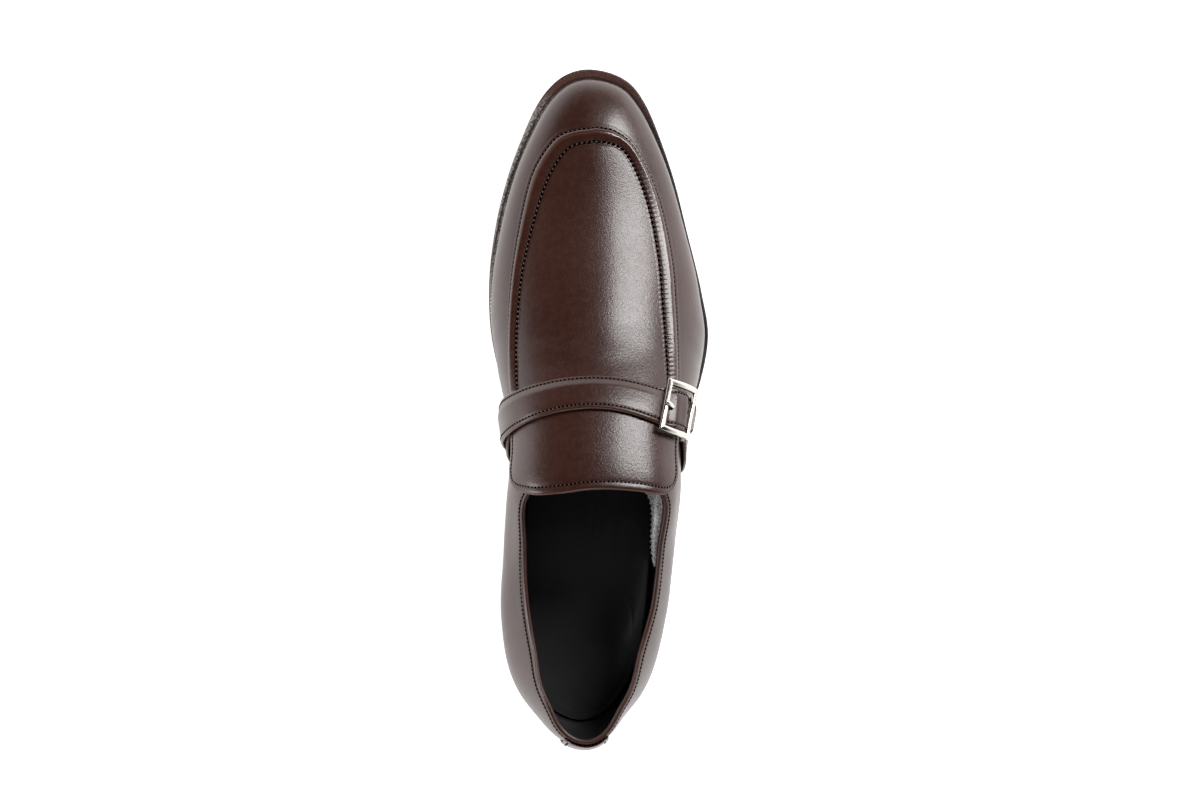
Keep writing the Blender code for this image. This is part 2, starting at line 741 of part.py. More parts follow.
def make_seam():
    """Raised seam round the vamp, from one end of the strap to the other."""
    start = strap_share(SEAM_TABLE[0][1], 1.0) + SEAM_START
    run = np.linspace(float(turn_at(start)), 1, 26)
    turns = [(float(turn_at(row[0])), *row[1:]) for row in SEAM_TABLE]
    place = np.array([row[0] for row in SEAM_PROFILE])
    rise = np.array([row[1] for row in SEAM_PROFILE])
    outer, inner = [], []
    for side, order in ((-1, run), (1, run[::-1][1:])):
        shift = 0 if side < 0 else 2
        out_row, in_row = smooth(order, turns, 1 + shift), smooth(order, turns, 2 + shift)
        grid = out_row[:, None] + (in_row - out_row)[:, None] * place
        turn = np.broadcast_to(order[:, None], grid.shape)
        outer.append(laid(turn, grid, np.broadcast_to(CLEARANCE + BEAD_HEIGHT * rise, grid.shape)))
        inner.append(laid(turn, grid, np.full(grid.shape, CLEARANCE)))
    outer, inner = np.concatenate(outer)[::-1], np.concatenate(inner)[::-1]
    return shell("apron_bead", outer, inner, "leather")


def make_heel_tab():
    """Patch over the back seam, from the collar down."""
    belly = WALL_TABLE[0][3]
    tries = np.linspace(0, float(turn_at(HEEL_BREAST)), 61)
    outer, inner = [], []
    for side in (-1, 1):
        width = np.abs(last(tries, belly if side < 0 else 2 - belly)[:, 0])
        turn = np.interp(np.linspace(0, HEEL_TAB_WIDTH / 2, 5), width, tries)
        reach = collar_across(side, turn)
        order = slice(None, None, -1) if side < 0 else slice(1, None)
        up = reach[:, None] * np.linspace(*HEEL_TAB_REACH, 7)
        across = up if side < 0 else 2 - up
        grid = np.broadcast_to(turn[:, None], across.shape)
        height = np.full(across.shape, CLEARANCE)
        outer.append(laid(grid, across, height + HEEL_TAB_THICKNESS)[order])
        inner.append(laid(grid, across, height)[order])
    return shell("heel_tab", np.concatenate(outer), np.concatenate(inner), "leather")


def make_buckle():
    """Rectangular frame with its pin, bent a little round the foot, and the prong."""
    steps = 6
    half_long, half_wide = BUCKLE_LENGTH / 2, BUCKLE_WIDTH / 2
    ramp = np.linspace(-1, 1, steps + 1)[:-1]
    rings = []
    for inset, height in BAR_PROFILE:
        a, b = half_long - inset * BUCKLE_BAR, half_wide - inset * BUCKLE_BAR
        along = np.concatenate([a * ramp, np.full(steps, a), -a * ramp, np.full(steps, -a)])
        wide = np.concatenate([np.full(steps, -b), b * ramp, np.full(steps, b), -b * ramp])
        rings.append(on_strap(along, wide, np.full(along.shape, FRAME_BOTTOM + height * BUCKLE_THICKNESS)))
    frame = loops("buckle_frame", rings, "metal", "round")

    post_in, post_out = half_wide - 5 / 6 * BUCKLE_BAR, half_wide - BUCKLE_BAR / 5
    top = FRAME_BOTTOM + BUCKLE_THICKNESS / 3
    sides = [(-post_out, top), (-post_out, UNDER_STRAP), (post_out, UNDER_STRAP), (post_out, top),
             (post_in, top), (post_in, PIN_TOP), (-post_in, PIN_TOP), (-post_in, top)]
    pin_rings = []
    for along in (-PIN_WIDTH / 2, PIN_WIDTH / 2):
        wide = np.array([place for place, _ in sides])
        rise = np.array([height for _, height in sides])
        pin_rings.append(on_strap(np.full(wide.shape, along), wide, rise))
    pin = loops("buckle_pin_cutter", pin_rings, "metal", "ends")
    pin.hide_render = True
    pin.display_type = "WIRE"
    join = frame.modifiers.new("pin", "BOOLEAN")
    join.operation = "UNION"
    join.solver = "EXACT"
    join.object = pin
    return frame, pin


def make_prong():
    """From where it comes through the strap to the frame's inner bar, lying on both."""
    radius = PRONG_THICKNESS / 2
    start = UNDER_STRAP + over_pin(PRONG_START) + STRAP_THICKNESS + CLEARANCE + radius
    end = FRAME_BOTTOM + BUCKLE_THICKNESS + CLEARANCE + radius
    rings = []
    for share in np.linspace(0, 1, 9):
        angle = np.linspace(0, 2 * math.pi, 9)[:-1]
        along = -PRONG_START - share * (BUCKLE_LENGTH / 2 + EDGE_ROUND / 3 - PRONG_START)
        thick = radius * (1 - share / 3)
        middle = start + (end - start) * math.sin(share * math.pi / 2) - radius + thick
        wide = 4 / 3 * thick * np.cos(angle)
        rings.append(on_strap(np.full(angle.shape, along), wide, middle + thick * np.sin(angle)))
    return loops("buckle_prong", rings, "metal", "ends")


def place(objects):
    """The origin is under the middle of the shoe's box, on the floor."""
    points = np.concatenate([
        np.array([vertex.co for vertex in made.data.vertices]) for made in objects if not made.hide_render
    ])
    low, high = points.min(axis=0), points.max(axis=0)
    for made in objects:
        made.location = (-(low[0] + high[0]) / 2, -(low[1] + high[1]) / 2, -low[2])


def main():
    for old in list(bpy.data.objects):
        bpy.data.objects.remove(old, do_unlink=True)
    objects = [make_outsole(), make_welt(), *make_heel(), make_insole(), make_upper(), make_tongue()]
    objects += [make_side_tab(-1, "side_tab_medial"), make_side_tab(1, "side_tab_lateral")]
    objects += [make_strap(), make_seam(), make_heel_tab(), *make_buckle(), make_prong()]
    place(objects)


main()
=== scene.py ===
# Monk strap shoe, right foot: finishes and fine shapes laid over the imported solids
import math

import bmesh
import bpy
import numpy as np
from mathutils import Matrix, Vector


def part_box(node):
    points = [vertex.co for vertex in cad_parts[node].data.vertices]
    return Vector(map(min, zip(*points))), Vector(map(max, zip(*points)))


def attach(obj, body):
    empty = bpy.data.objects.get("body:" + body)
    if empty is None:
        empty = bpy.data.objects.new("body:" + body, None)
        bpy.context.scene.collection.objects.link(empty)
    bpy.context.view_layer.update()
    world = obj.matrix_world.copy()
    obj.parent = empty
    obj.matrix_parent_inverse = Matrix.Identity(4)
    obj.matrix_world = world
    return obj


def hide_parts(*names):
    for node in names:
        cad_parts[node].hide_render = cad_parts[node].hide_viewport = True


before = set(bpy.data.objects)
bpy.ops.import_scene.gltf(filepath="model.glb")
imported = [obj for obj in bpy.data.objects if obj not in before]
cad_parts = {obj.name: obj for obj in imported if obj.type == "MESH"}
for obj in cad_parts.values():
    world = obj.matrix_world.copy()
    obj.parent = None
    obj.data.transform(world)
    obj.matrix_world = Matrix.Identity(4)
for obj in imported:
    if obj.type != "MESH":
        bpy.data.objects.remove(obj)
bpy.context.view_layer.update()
soleLow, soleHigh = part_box("outsole")

shoe = {
    "length": soleHigh.y - soleLow.y,
    "ballWidth": 0.1035,
    "heelHeight": 0.025,
    "toeSpring": 0.006,
    "instepRise": 0.070,
    "quarterRise": 0.055,
    "outsole": 0.005,
    "welt": 0.003,
    "weltWidth": 0.013,
    "insole": 0.003,
    "lift": 0.006,
    "wall": 0.0022,
    "gap": 0.0003,
    "breast": 0.25,  # shares of the length
    "ballStart": 0.60,
    "ballEnd": 0.71,
    "middleHeight": 0.035,  # a point inside the foot's room, for which way is out
}

# Edge of the sole: share of the length, then medial and lateral half-widths in ball widths
soleEdgeRows = [
    (0.00, 0.000, 0.000), (0.03, 0.190, 0.175), (0.10, 0.305, 0.290), (0.18, 0.330, 0.330),
    (0.28, 0.315, 0.350), (0.38, 0.300, 0.395), (0.46, 0.325, 0.460), (0.53, 0.380, 0.535),
    (0.60, 0.423, 0.566), (0.66, 0.434, 0.535), (0.76, 0.408, 0.459), (0.83, 0.362, 0.403),
    (0.90, 0.291, 0.328), (0.95, 0.224, 0.259), (0.98, 0.152, 0.188), (1.00, 0.000, 0.000),
]

# Welt margin outside the feather edge: share, medial, lateral
marginRows = [
    (0.000, 0.029, 0.029), (0.300, 0.029, 0.029), (0.500, 0.034, 0.038), (0.620, 0.038, 0.038),
    (0.750, 0.050, 0.038), (0.870, 0.051, 0.041), (1.000, 0.060, 0.060),
]

# Ridge of the last: share, rise in instep rises, place to the side
ridgeRows = [
    (0.00, 1.040, 0.000), (0.12, 1.040, 0.015), (0.20, 1.010, 0.017), (0.30, 0.980, 0.018),
    (0.37, 0.990, 0.020), (0.42, 0.990, 0.021), (0.48, 0.965, 0.024), (0.54, 0.885, 0.027),
    (0.62, 0.745, 0.030), (0.70, 0.615, 0.027), (0.80, 0.480, 0.020), (0.86, 0.420, 0.014),
    (1.00, 0.350, 0.010),
]

# Walls of the last: share, bulge, belly and crown, each medial then lateral
wallRows = [
    (0.000, 0.050, 0.050, 0.300, 0.300, 1.300, 1.300),
    (0.030, 0.083, 0.055, 0.300, 0.300, 0.850, 0.920),
    (0.070, 0.146, 0.120, 0.300, 0.300, 0.440, 0.490),
    (0.120, 0.205, 0.180, 0.300, 0.300, 0.090, 0.140),
    (0.200, 0.250, 0.221, 0.330, 0.330, -0.040, 0.100),
    (0.280, 0.213, 0.206, 0.380, 0.380, 0.330, 0.350),
    (0.360, 0.142, 0.106, 0.480, 0.450, 0.900, 0.930),
    (0.420, 0.103, 0.066, 0.500, 0.450, 0.950, 0.900),
    (0.500, 0.108, 0.059, 0.500, 0.420, 0.860, 0.760),
    (0.600, 0.107, 0.064, 0.500, 0.400, 0.720, 0.550),
    (0.700, 0.099, 0.088, 0.500, 0.450, 0.680, 0.520),
    (0.850, 0.072, 0.068, 0.500, 0.450, 0.640, 0.520),
    (1.000, 0.040, 0.040, 0.450, 0.450, 0.600, 0.600),
]

# Collar: share, rise in quarter rises
collarRows = [
    (0.000, 1.00), (0.040, 0.98), (0.100, 0.86), (0.160, 0.75), (0.210, 0.72), (0.260, 0.77),
    (0.310, 0.89), (0.360, 1.06), (0.385, 1.20), (0.410, 1.50),
]
heelFan = {"start": 0.24, "depth": 0.115}
toeFan = {"start": 0.70, "depth": 0.155}


def curve(x, rows, column=1):
    xs = np.array([row[0] for row in rows])
    ys = np.array([row[column] for row in rows])
    x = np.clip(np.asarray(x, float), xs[0], xs[-1])
    slope = np.gradient(ys, xs)
    i = np.clip(np.searchsorted(xs, x, side="right") - 1, 0, len(xs) - 2)
    span = xs[i + 1] - xs[i]
    q = (x - xs[i]) / span
    start = (1 + 2 * q) * (1 - q) ** 2 * ys[i] + q * (1 - q) ** 2 * span * slope[i]
    end = q * q * (3 - 2 * q) * ys[i + 1] + q * q * (q - 1) * span * slope[i + 1]
    return start + end


def turnAt(share):
    return np.arccos(1 - 2 * np.clip(share, 0, 1)) / math.pi


def shareAt(turn):
    return (1 - np.cos(math.pi * np.asarray(turn, float))) / 2


def bump(x, centre, width):
    return np.exp(-((np.asarray(x, float) - centre) / width) ** 2)


def step(x, start, end):
    q = np.clip((np.asarray(x, float) - start) / (end - start), 0, 1)
    return q * q * (3 - 2 * q)


def sectionAt(section, v, column):
    return np.interp(v * (len(section) - 1), np.arange(len(section)), [row[column] for row in section])


def onSide(side, medial, lateral):
    return medial if side < 0 else lateral


soleEdgeTurns = [(float(turnAt(row[0])), *row[1:]) for row in soleEdgeRows]


def soleBottom(y):
    share = np.asarray(y, float) / shoe["length"]
    q = np.clip((share - shoe["breast"]) / (shoe["ballStart"] - shoe["breast"]), 0, 1)
    arch = shoe["heelHeight"] * (1 - q * q * (3 - 2 * q))
    spring = shoe["toeSpring"] * np.clip((share - shoe["ballEnd"]) / (1 - shoe["ballEnd"]), 0, 1) ** 2
    return arch + spring


def weltBottom(y):
    return soleBottom(y) + shoe["outsole"] + shoe["gap"]


def featherHeight(y):
    return weltBottom(y) + shoe["welt"] + shoe["gap"]


def soleEdge(side, turn, inset=0.0):
    turn = np.asarray(turn, float)
    column = onSide(side, 1, 2)

    def edge(at):
        flip = np.where((at < 0) | (at > 1), -1.0, 1.0)
        inside = np.where(at < 0, -at, np.where(at > 1, 2 - at, at))
        half = flip * curve(inside, soleEdgeTurns, column) * shoe["ballWidth"]
        return half, shareAt(inside) * shoe["length"]

    near = 1e-3
    x, y = edge(turn)
    xBefore, yBefore = edge(turn - near)
    xAfter, yAfter = edge(turn + near)
    tangentX, tangentY = xAfter - xBefore, yAfter - yBefore
    length = np.hypot(tangentX, tangentY)
    return side * (x - inset * tangentY / length), y + inset * tangentX / length


# The solids stand with their box's middle over the origin, and the toe's tip gives where that is
origin = np.array([
    soleHigh.x - soleEdge(1, np.linspace(0, 1, 41))[0].max(),
    soleHigh.y - shoe["length"],
    0.0,
])


def ridgeHeight(base):
    return featherHeight(base * shoe["length"]) + shoe["instepRise"] * curve(base, ridgeRows, 1)


def lastSection(side, turn):
    share = shareAt(turn)
    column = onSide(side, 0, 1)
    x, y = soleEdge(side, turn, curve(share, marginRows, 1 + column) * shoe["ballWidth"])
    z = featherHeight(y)
    heel = np.clip(1 - share / heelFan["start"], 0, 1)
    toe = np.clip((share - toeFan["start"]) / (1 - toeFan["start"]), 0, 1)
    base = share + heelFan["depth"] * heel ** 2 - toeFan["depth"] * toe ** 2
    topX, topY = shoe["ballWidth"] * curve(base, ridgeRows, 2), base * shoe["length"]
    topZ = ridgeHeight(base)
    near = 0.002
    slope = (ridgeHeight(base + near) - ridgeHeight(base - near)) / (2 * near * shoe["length"])
    alongX, alongY = x - topX, y - topY
    reach = np.hypot(alongX, alongY)
    alongX, alongY = alongX / reach, alongY / reach
    wide = reach + curve(share, wallRows, 1 + column) * shoe["ballWidth"]
    belly = z + curve(share, wallRows, 3 + column) * (topZ - z)
    crown = curve(share, wallRows, 5 + column) * wide
    return (
        np.stack([x, y, z], -1),
        np.stack([topX + alongX * wide, topY + alongY * wide, belly], -1),
        np.stack([topX + alongX * crown, topY + alongY * crown, topZ + slope * alongY * crown], -1),
        np.stack([topX, topY, topZ], -1),
    )


def lastPoint(turn, across):
    turn, across = np.broadcast_arrays(np.asarray(turn, float), np.asarray(across, float))
    points = np.zeros(turn.shape + (3,))
    for side in (-1, 1):
        mask = onSide(side, across <= 1, across > 1)
        if mask.any():
            t = onSide(side, across, 2 - across)[mask][:, None]
            foot, belly, crown, top = lastSection(side, turn[mask])
            points[mask] = (foot * (1 - t) ** 3 + 3 * belly * t * (1 - t) ** 2
                            + 3 * crown * t * t * (1 - t) + top * t ** 3)
    return points


def lastNormal(turn, across):
    turn, across = np.broadcast_arrays(np.asarray(turn, float), np.asarray(across, float))
    near = 2e-3
    safe = np.clip(turn, near, 1 - 4 * near)
    medial = across <= 1
    before, after = across - near, across + near
    low = np.where(medial, np.clip(before, 0, 1 - 4 * near), np.clip(before, 1 + 2 * near, 2))
    high = np.where(medial, np.clip(after, 0, 1 - 2 * near), np.clip(after, 1 + 4 * near, 2))
    middle = (low + high) / 2
    along = lastPoint(safe + near, middle) - lastPoint(safe - near, middle)
    over = lastPoint(safe, high) - lastPoint(safe, low)
    normal = np.cross(over, along)
    normal /= np.linalg.norm(normal, axis=-1, keepdims=True)
    atEnd = (turn < near) | (turn > 1 - 4 * near)
    normal[..., 0] = np.where(atEnd, 0.0, normal[..., 0])
    return normal / np.linalg.norm(normal, axis=-1, keepdims=True)


def laid(turn, across, height):
    lifted = lastNormal(turn, across) * np.asarray(height, float)[..., None]
    return lastPoint(turn, across) + lifted + origin


def collarReach(side, turn):
    share = shareAt(turn)
    foot, _, _, top = lastSection(side, turn)
    height = foot[..., 2] + shoe["quarterRise"] * curve(share, collarRows)
    low, high = np.zeros_like(turn), np.ones_like(turn)
    for _ in range(30):
        middle = (low + high) / 2
        below = lastPoint(turn, onSide(side, middle, 2 - middle))[..., 2] < height
        low, high = np.where(below, middle, low), np.where(below, high, middle)
    return np.where((height >= top[..., 2]) | (high > 0.985) | (share > collarRows[-1][0]), 1.0, high)


reachTurns = np.linspace(0, 1, 1201)
reachKnown = {side: collarReach(side, reachTurns) for side in (-1, 1)}


def collarAt(side, turn):
    return np.interp(turn, reachTurns, reachKnown[side])


print("last ready")

# Where the straps, flap, seam and tabs run: place across the last, then shares of the length
strapRows = [
    (0.030, 0.470, 0.410), (0.300, 0.483, 0.427), (0.450, 0.493, 0.4355), (0.600, 0.502, 0.4475),
    (0.750, 0.5125, 0.461), (0.900, 0.5225, 0.472), (1.000, 0.526, 0.4755), (1.100, 0.5225, 0.4705),
    (1.200, 0.5155, 0.461), (1.300, 0.5075, 0.4515), (1.450, 0.500, 0.4435), (1.600, 0.491, 0.4345),
    (1.750, 0.4795, 0.4245), (2.000, 0.458, 0.407),
]

# Raised seam: share, then medial outer and inner row, lateral outer and inner row
seamRows = [
    (0.500, 0.512, 0.585, 1.425, 1.350), (0.595, 0.528, 0.597, 1.445, 1.361),
    (0.690, 0.540, 0.620, 1.470, 1.369), (0.775, 0.540, 0.655, 1.485, 1.374),
    (0.840, 0.540, 0.690, 1.457, 1.345), (0.900, 0.602, 0.747, 1.389, 1.292),
    (0.955, 0.722, 0.835, 1.291, 1.182), (0.985, 0.766, 0.863, 1.246, 1.145),
    (1.000, 0.776, 0.868, 1.230, 1.135),
]
seamTurns = [(float(turnAt(row[0])), *row[1:]) for row in seamRows]

# Side tabs: way up from the feather edge, then the rear edge's share, medial and lateral
tabRows = [
    (0.03, 0.385, 0.375), (0.15, 0.398, 0.383), (0.28, 0.410, 0.392), (0.36, 0.419, 0.404),
    (0.41, 0.430, 0.418), (0.45, 0.440, 0.432),
]


def strapShare(across, lift):
    front, rear = curve(across, strapRows, 1), curve(across, strapRows, 2)
    return (front + rear) / 2 + (front - rear) / 2 * lift


def orient(body, facing):
    body.normal_update()
    outward = [face.normal.dot(facing(face.calc_center_median())) * face.calc_area() for face in body.faces]
    if sum(outward) < 0:
        bmesh.ops.reverse_faces(body, faces=body.faces)


def awayFromFoot(spot):
    return Vector((spot.x, 0, spot.z - shoe["middleHeight"]))


def shapedGrid(columns, rows, place, facing=None):
    body = bmesh.new()
    bmesh.ops.create_grid(body, x_segments=columns, y_segments=rows, size=1)
    flat = np.array([vert.co[:2] for vert in body.verts])
    share = (flat - flat.min(0)) / (flat.max(0) - flat.min(0))
    spots, marks = place(share[:, 0], share[:, 1])
    layers = {key: body.verts.layers.float.new(key) for key in marks}
    for i, vert in enumerate(body.verts):
        vert.co = spots[i]
        for key, layer in layers.items():
            vert[layer] = marks[key][i]
    bmesh.ops.remove_doubles(body, verts=body.verts, dist=2e-5)
    bmesh.ops.dissolve_degenerate(body, edges=body.edges, dist=1e-7)
    if facing:
        orient(body, facing)
    else:
        bmesh.ops.recalc_face_normals(body, faces=body.faces)
    return body


def closeEnds(body):
    bmesh.ops.holes_fill(body, edges=[edge for edge in body.edges if edge.is_boundary], sides=0)
    bmesh.ops.recalc_face_normals(body, faces=body.faces)


def addPiece(name, body, finish, replaced=(), thick=0.0, edge=0.0, rimFinish=None):
    mesh = bpy.data.meshes.new(name)
    body.to_mesh(mesh)
    body.free()
    mesh.materials.append(finish)
    if rimFinish:
        mesh.materials.append(rimFinish)
    mesh.shade_smooth()
    piece = bpy.data.objects.new(name, mesh)
    bpy.context.scene.collection.objects.link(piece)
    if thick:
        wall = piece.modifiers.new("thickness", "SOLIDIFY")
        wall.thickness = thick
        wall.offset = -1
        wall.use_even_offset = False
        wall.material_offset_rim = 1 if rimFinish else 0
    if edge:
        rounded = piece.modifiers.new("edges", "BEVEL")
        rounded.width = edge
        rounded.segments = 3
        rounded.limit_method = "ANGLE"
        rounded.angle_limit = math.radians(40)
    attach(piece, "root")
    if replaced:
        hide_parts(*replaced)
    return piece


class Wire:
    def __init__(self, nodes, socket):
        self.nodes = nodes
        self.socket = socket

    def __add__(self, other):
        return self.nodes.maths("ADD", self, other)

    def __sub__(self, other):
        return self.nodes.maths("SUBTRACT", self, other)

    def __rsub__(self, other):
        return self.nodes.maths("SUBTRACT", other, self)

    def __mul__(self, other):
        return self.nodes.maths("MULTIPLY", self, other)

    __radd__ = __add__
    __rmul__ = __mul__


class Nodes:
    def __init__(self, tree):
        self.tree = tree

    def plug(self, value, socket):
        if isinstance(value, Wire):
            self.tree.links.new(value.socket, socket)
        else:
            socket.default_value = value

    def node(self, kind, settings, inputs, out=0):
        made = self.tree.nodes.new("ShaderNode" + kind)
        for key, value in settings.items():
            setattr(made, key, value)
        for key, value in inputs.items():
            self.plug(value, made.inputs[key])
        return Wire(self, made.outputs[out])

    def maths(self, operation, *values):
        return self.node("Math", {"operation": operation}, dict(enumerate(values)))


class Finish(Nodes):
    def __init__(self, name, constants):
        self.material = bpy.data.materials.new(name)
        self.material.use_nodes = True
        super().__init__(self.material.node_tree)
        self.shader = self.tree.nodes["Principled BSDF"]
        for key, value in constants.items():
            self.shader.inputs[key].default_value = value

    def between(self, value, low, high):
        settings = {"interpolation_type": "SMOOTHSTEP"}
        return self.node("MapRange", settings, {"Value": value, "From Min": low, "From Max": high})

    def blend(self, amount, first, second):
        return self.node("Mix", {"data_type": "RGBA"}, {0: amount, 6: first, 7: second}, 2)

    def place(self):
        return self.node("TexCoord", {}, {}, "Object")

    def noise(self, spot, scale, detail, rough):
        inputs = {"Vector": spot, "Scale": scale, "Detail": detail, "Roughness": rough}
        return self.node("TexNoise", {}, inputs)

    def mark(self, name):
        return self.node("Attribute", {"attribute_name": name}, {}, "Fac")

    def stretched(self, spot, scale):
        return self.node("Mapping", {}, {"Vector": spot, "Scale": scale})

    def bumped(self, height, distance):
        return self.node("Bump", {}, {"Height": height, "Distance": distance, "Strength": 1.0})

    def give(self, **links):
        names = {"colour": "Base Color", "rough": "Roughness", "normal": "Normal"}
        for key, value in links.items():
            self.plug(value, self.shader.inputs[names[key]])
        return self.material


def rgb(red, green, blue):
    def linear(c):
        c /= 255
        return c / 12.92 if c <= 0.04045 else ((c + 0.055) / 1.055) ** 2.4
    return linear(red), linear(green), linear(blue), 1.0


calf = {
    "dark": rgb(50, 25, 18),
    "light": rgb(63, 34, 26),
    # edge: paler colour for rubbed cut edges, and for the painted highlight along the raised bead's crest
    "edge": rgb(112, 78, 66),
    # groove: dark colour for painted shade in stitch grooves and painted shadow along the foot of the upper
    "groove": rgb(17, 10, 9),
    "rough": 0.33,
    "grain": 0.0001,
    "cloudScale": 24,
    "mottleScale": 330,
    "grainScale": 850,
    "poreScale": 1500,
}


def calfFinish(name, look, grain=1.0):
    finish = Finish(name, {"IOR": 1.5, "Coat Weight": 0.08, "Coat Roughness": 0.20, "Coat IOR": 1.45})
    spot = finish.place()
    cloud = finish.between(finish.noise(spot, look["cloudScale"], 3, 0.6), 0.35, 0.68)
    mottle = finish.between(finish.noise(spot, look["mottleScale"], 3, 0.6), 0.35, 0.70)
    base = finish.blend(cloud * 0.5 + mottle * 0.5, look["dark"], look["light"])
    # Paler on rubbed edges, and a painted highlight along the raised bead's crest
    paled = finish.blend(finish.mark("rim"), base, look["edge"])
    # Darker in stitch grooves and along the foot of the upper: painted shade and painted shadow
    colour = finish.blend(finish.mark("seam"), paled, look["groove"])
    poreInputs = {"Vector": spot, "Scale": look["poreScale"], "Smoothness": 0.6}
    pores = finish.node("TexVoronoi", {"feature": "SMOOTH_F1"}, poreInputs)
    grainHeight = finish.noise(spot, look["grainScale"], 3, 0.6) * 0.8 + pores * 0.3
    normal = finish.bumped(grainHeight, look["grain"] * grain)
    rough = look["rough"] + (mottle - 0.5) * 0.03 + (cloud - 0.5) * 0.02 - finish.mark("gloss") * 0.12
    return finish.give(colour=colour, rough=rough, normal=normal)


def plainFinish(name, colour, roughness, constants=None):
    finish = Finish(name, {"Base Color": colour, "Roughness": roughness, **(constants or {})})
    return finish.material


def liningFinish(name):
    finish = Finish(name, {"IOR": 1.5, "Coat Weight": 0.5, "Coat Roughness": 0.14})
    spot = finish.place()
    cloud = finish.noise(spot, 40, 3, 0.6)
    colour = finish.blend(cloud, rgb(44, 44, 45), rgb(62, 61, 62))
    normal = finish.bumped(finish.noise(spot, 700, 3, 0.6), 0.00004)
    return finish.give(colour=colour, rough=0.30 + cloud * 0.14, normal=normal)


def facingReflectionFinish():
    finish = Finish("facingPaintedReflection", {"IOR": 1.5, "Coat Weight": 1.0, "Coat Roughness": 0.16})
    speckle = finish.between(finish.noise(finish.place(), 1300, 2, 0.7), 0.40, 0.62)
    # Pale grey, much lighter than the black lining: a painted reflection
    colour = finish.blend(speckle, rgb(80, 78, 78), rgb(146, 143, 142))
    return finish.give(colour=colour, rough=0.24 + speckle * 0.1, normal=finish.bumped(speckle, 0.00005))


def soleFinish(name, dark, light, stretch):
    finish = Finish(name, {"IOR": 1.48})
    spot = finish.place()
    fibre = finish.noise(finish.stretched(spot, stretch), 260, 4, 0.6)
    cloud = finish.noise(spot, 30, 3, 0.5)
    mixed = finish.blend(fibre * 0.5 + cloud * 0.5, dark, light)
    colour = finish.blend(finish.mark("seam"), mixed, rgb(12, 9, 8))
    normal = finish.bumped(fibre, 0.00008)
    return finish.give(colour=colour, rough=0.42 + cloud * 0.2, normal=normal)


calfUpper = calfFinish("calfUpper", calf)
calfStrap = calfFinish("calfStrap", calf, 1.2)
lining = liningFinish("blackLining")
stack = soleFinish("stackedLeather", rgb(30, 20, 17), rgb(50, 33, 27), (1, 1, 6))
tread = soleFinish("treadLeather", rgb(72, 50, 37), rgb(98, 70, 52), (1, 1, 1))
rubber = soleFinish("heelRubber", rgb(22, 21, 21), rgb(32, 30, 30), (1, 1, 1))
thread = plainFinish("brownThread", rgb(104, 76, 66), 0.5)
# Near-black beads without reflection: painted shade inside stitch holes and the strap tail's opening
hole = plainFinish("stitchHoleShade", rgb(5, 3, 3), 1.0, {"Specular IOR Level": 0.0})
paleThread = plainFinish("paleThread", rgb(120, 104, 92), 0.6)
rawEdge = plainFinish("rawEdge", rgb(74, 41, 34), 0.5)


def nickelFinish():
    finish = Finish("nickel", {"Metallic": 1.0, "Base Color": rgb(214, 208, 200)})
    spot = finish.place()
    wear = finish.noise(spot, 900, 3, 0.6)
    return finish.give(rough=0.10 + wear * 0.12, normal=finish.bumped(wear, 0.000004))


nickel = nickelFinish()
print("finishes ready")

# The upper: one lasted skin of leather, the black lining inside it and the bound top edge
upperLook = {
    "columns": 460,
    "rows": 56,
    "leather": 0.0013,
    "edgeRows": 0.30,  # share of the rows kept for the top strip
    "edgeStrip": 0.12,  # share of the height that the top strip takes
    "tuck": 0.0004,
    "stitchDrop": 0.0023,
    "stitchDip": (0.00018, 0.0006),  # depth and half-width
    "topRound": (0.00045, 0.0009),  # depth and reach
    "footShadow": 0.012,
    "collarEnd": 0.392,  # share of the length
}

# Soft creases: share, across, half-length, half-width, depth, turn in degrees from crosswise
creases = [
    (0.545, 0.92, 0.030, 0.0035, 0.00022, 4),
    (0.572, 1.08, 0.026, 0.0040, 0.00018, -6),
    (0.600, 0.95, 0.022, 0.0045, 0.00012, 3),
    (0.560, 0.30, 0.016, 0.0036, 0.00018, 24),
    (0.585, 0.26, 0.014, 0.0036, 0.00014, 30),
    (0.555, 1.70, 0.015, 0.0036, 0.00016, -22),
    (0.582, 1.74, 0.014, 0.0038, 0.00012, -30),
    (0.300, 0.42, 0.016, 0.0050, 0.00040, 60),
    (0.330, 1.60, 0.016, 0.0050, 0.00036, -58),
    (0.215, 0.40, 0.018, 0.0060, 0.00030, 74),
    (0.225, 1.62, 0.018, 0.0060, 0.00030, -72),
]
halfGirth = 0.085


def creased(share, across):
    height = np.zeros_like(share)
    for atShare, atAcross, long, wide, depth, angle in creases:
        a = math.radians(angle)
        alongFoot = (share - atShare) * shoe["length"]
        overFoot = (across - atAcross) * halfGirth
        over = overFoot * math.cos(a) + alongFoot * math.sin(a)
        along = alongFoot * math.cos(a) - overFoot * math.sin(a)
        wave = np.exp(-(along / wide) ** 2) - 0.6 * np.exp(-((along - 2 * wide) / wide) ** 2)
        height -= depth * wave * np.exp(-(over / long) ** 4)
    return height


def around(u):
    lateral = u <= 0.5
    return lateral, np.where(lateral, 2 * u, 2 - 2 * u)


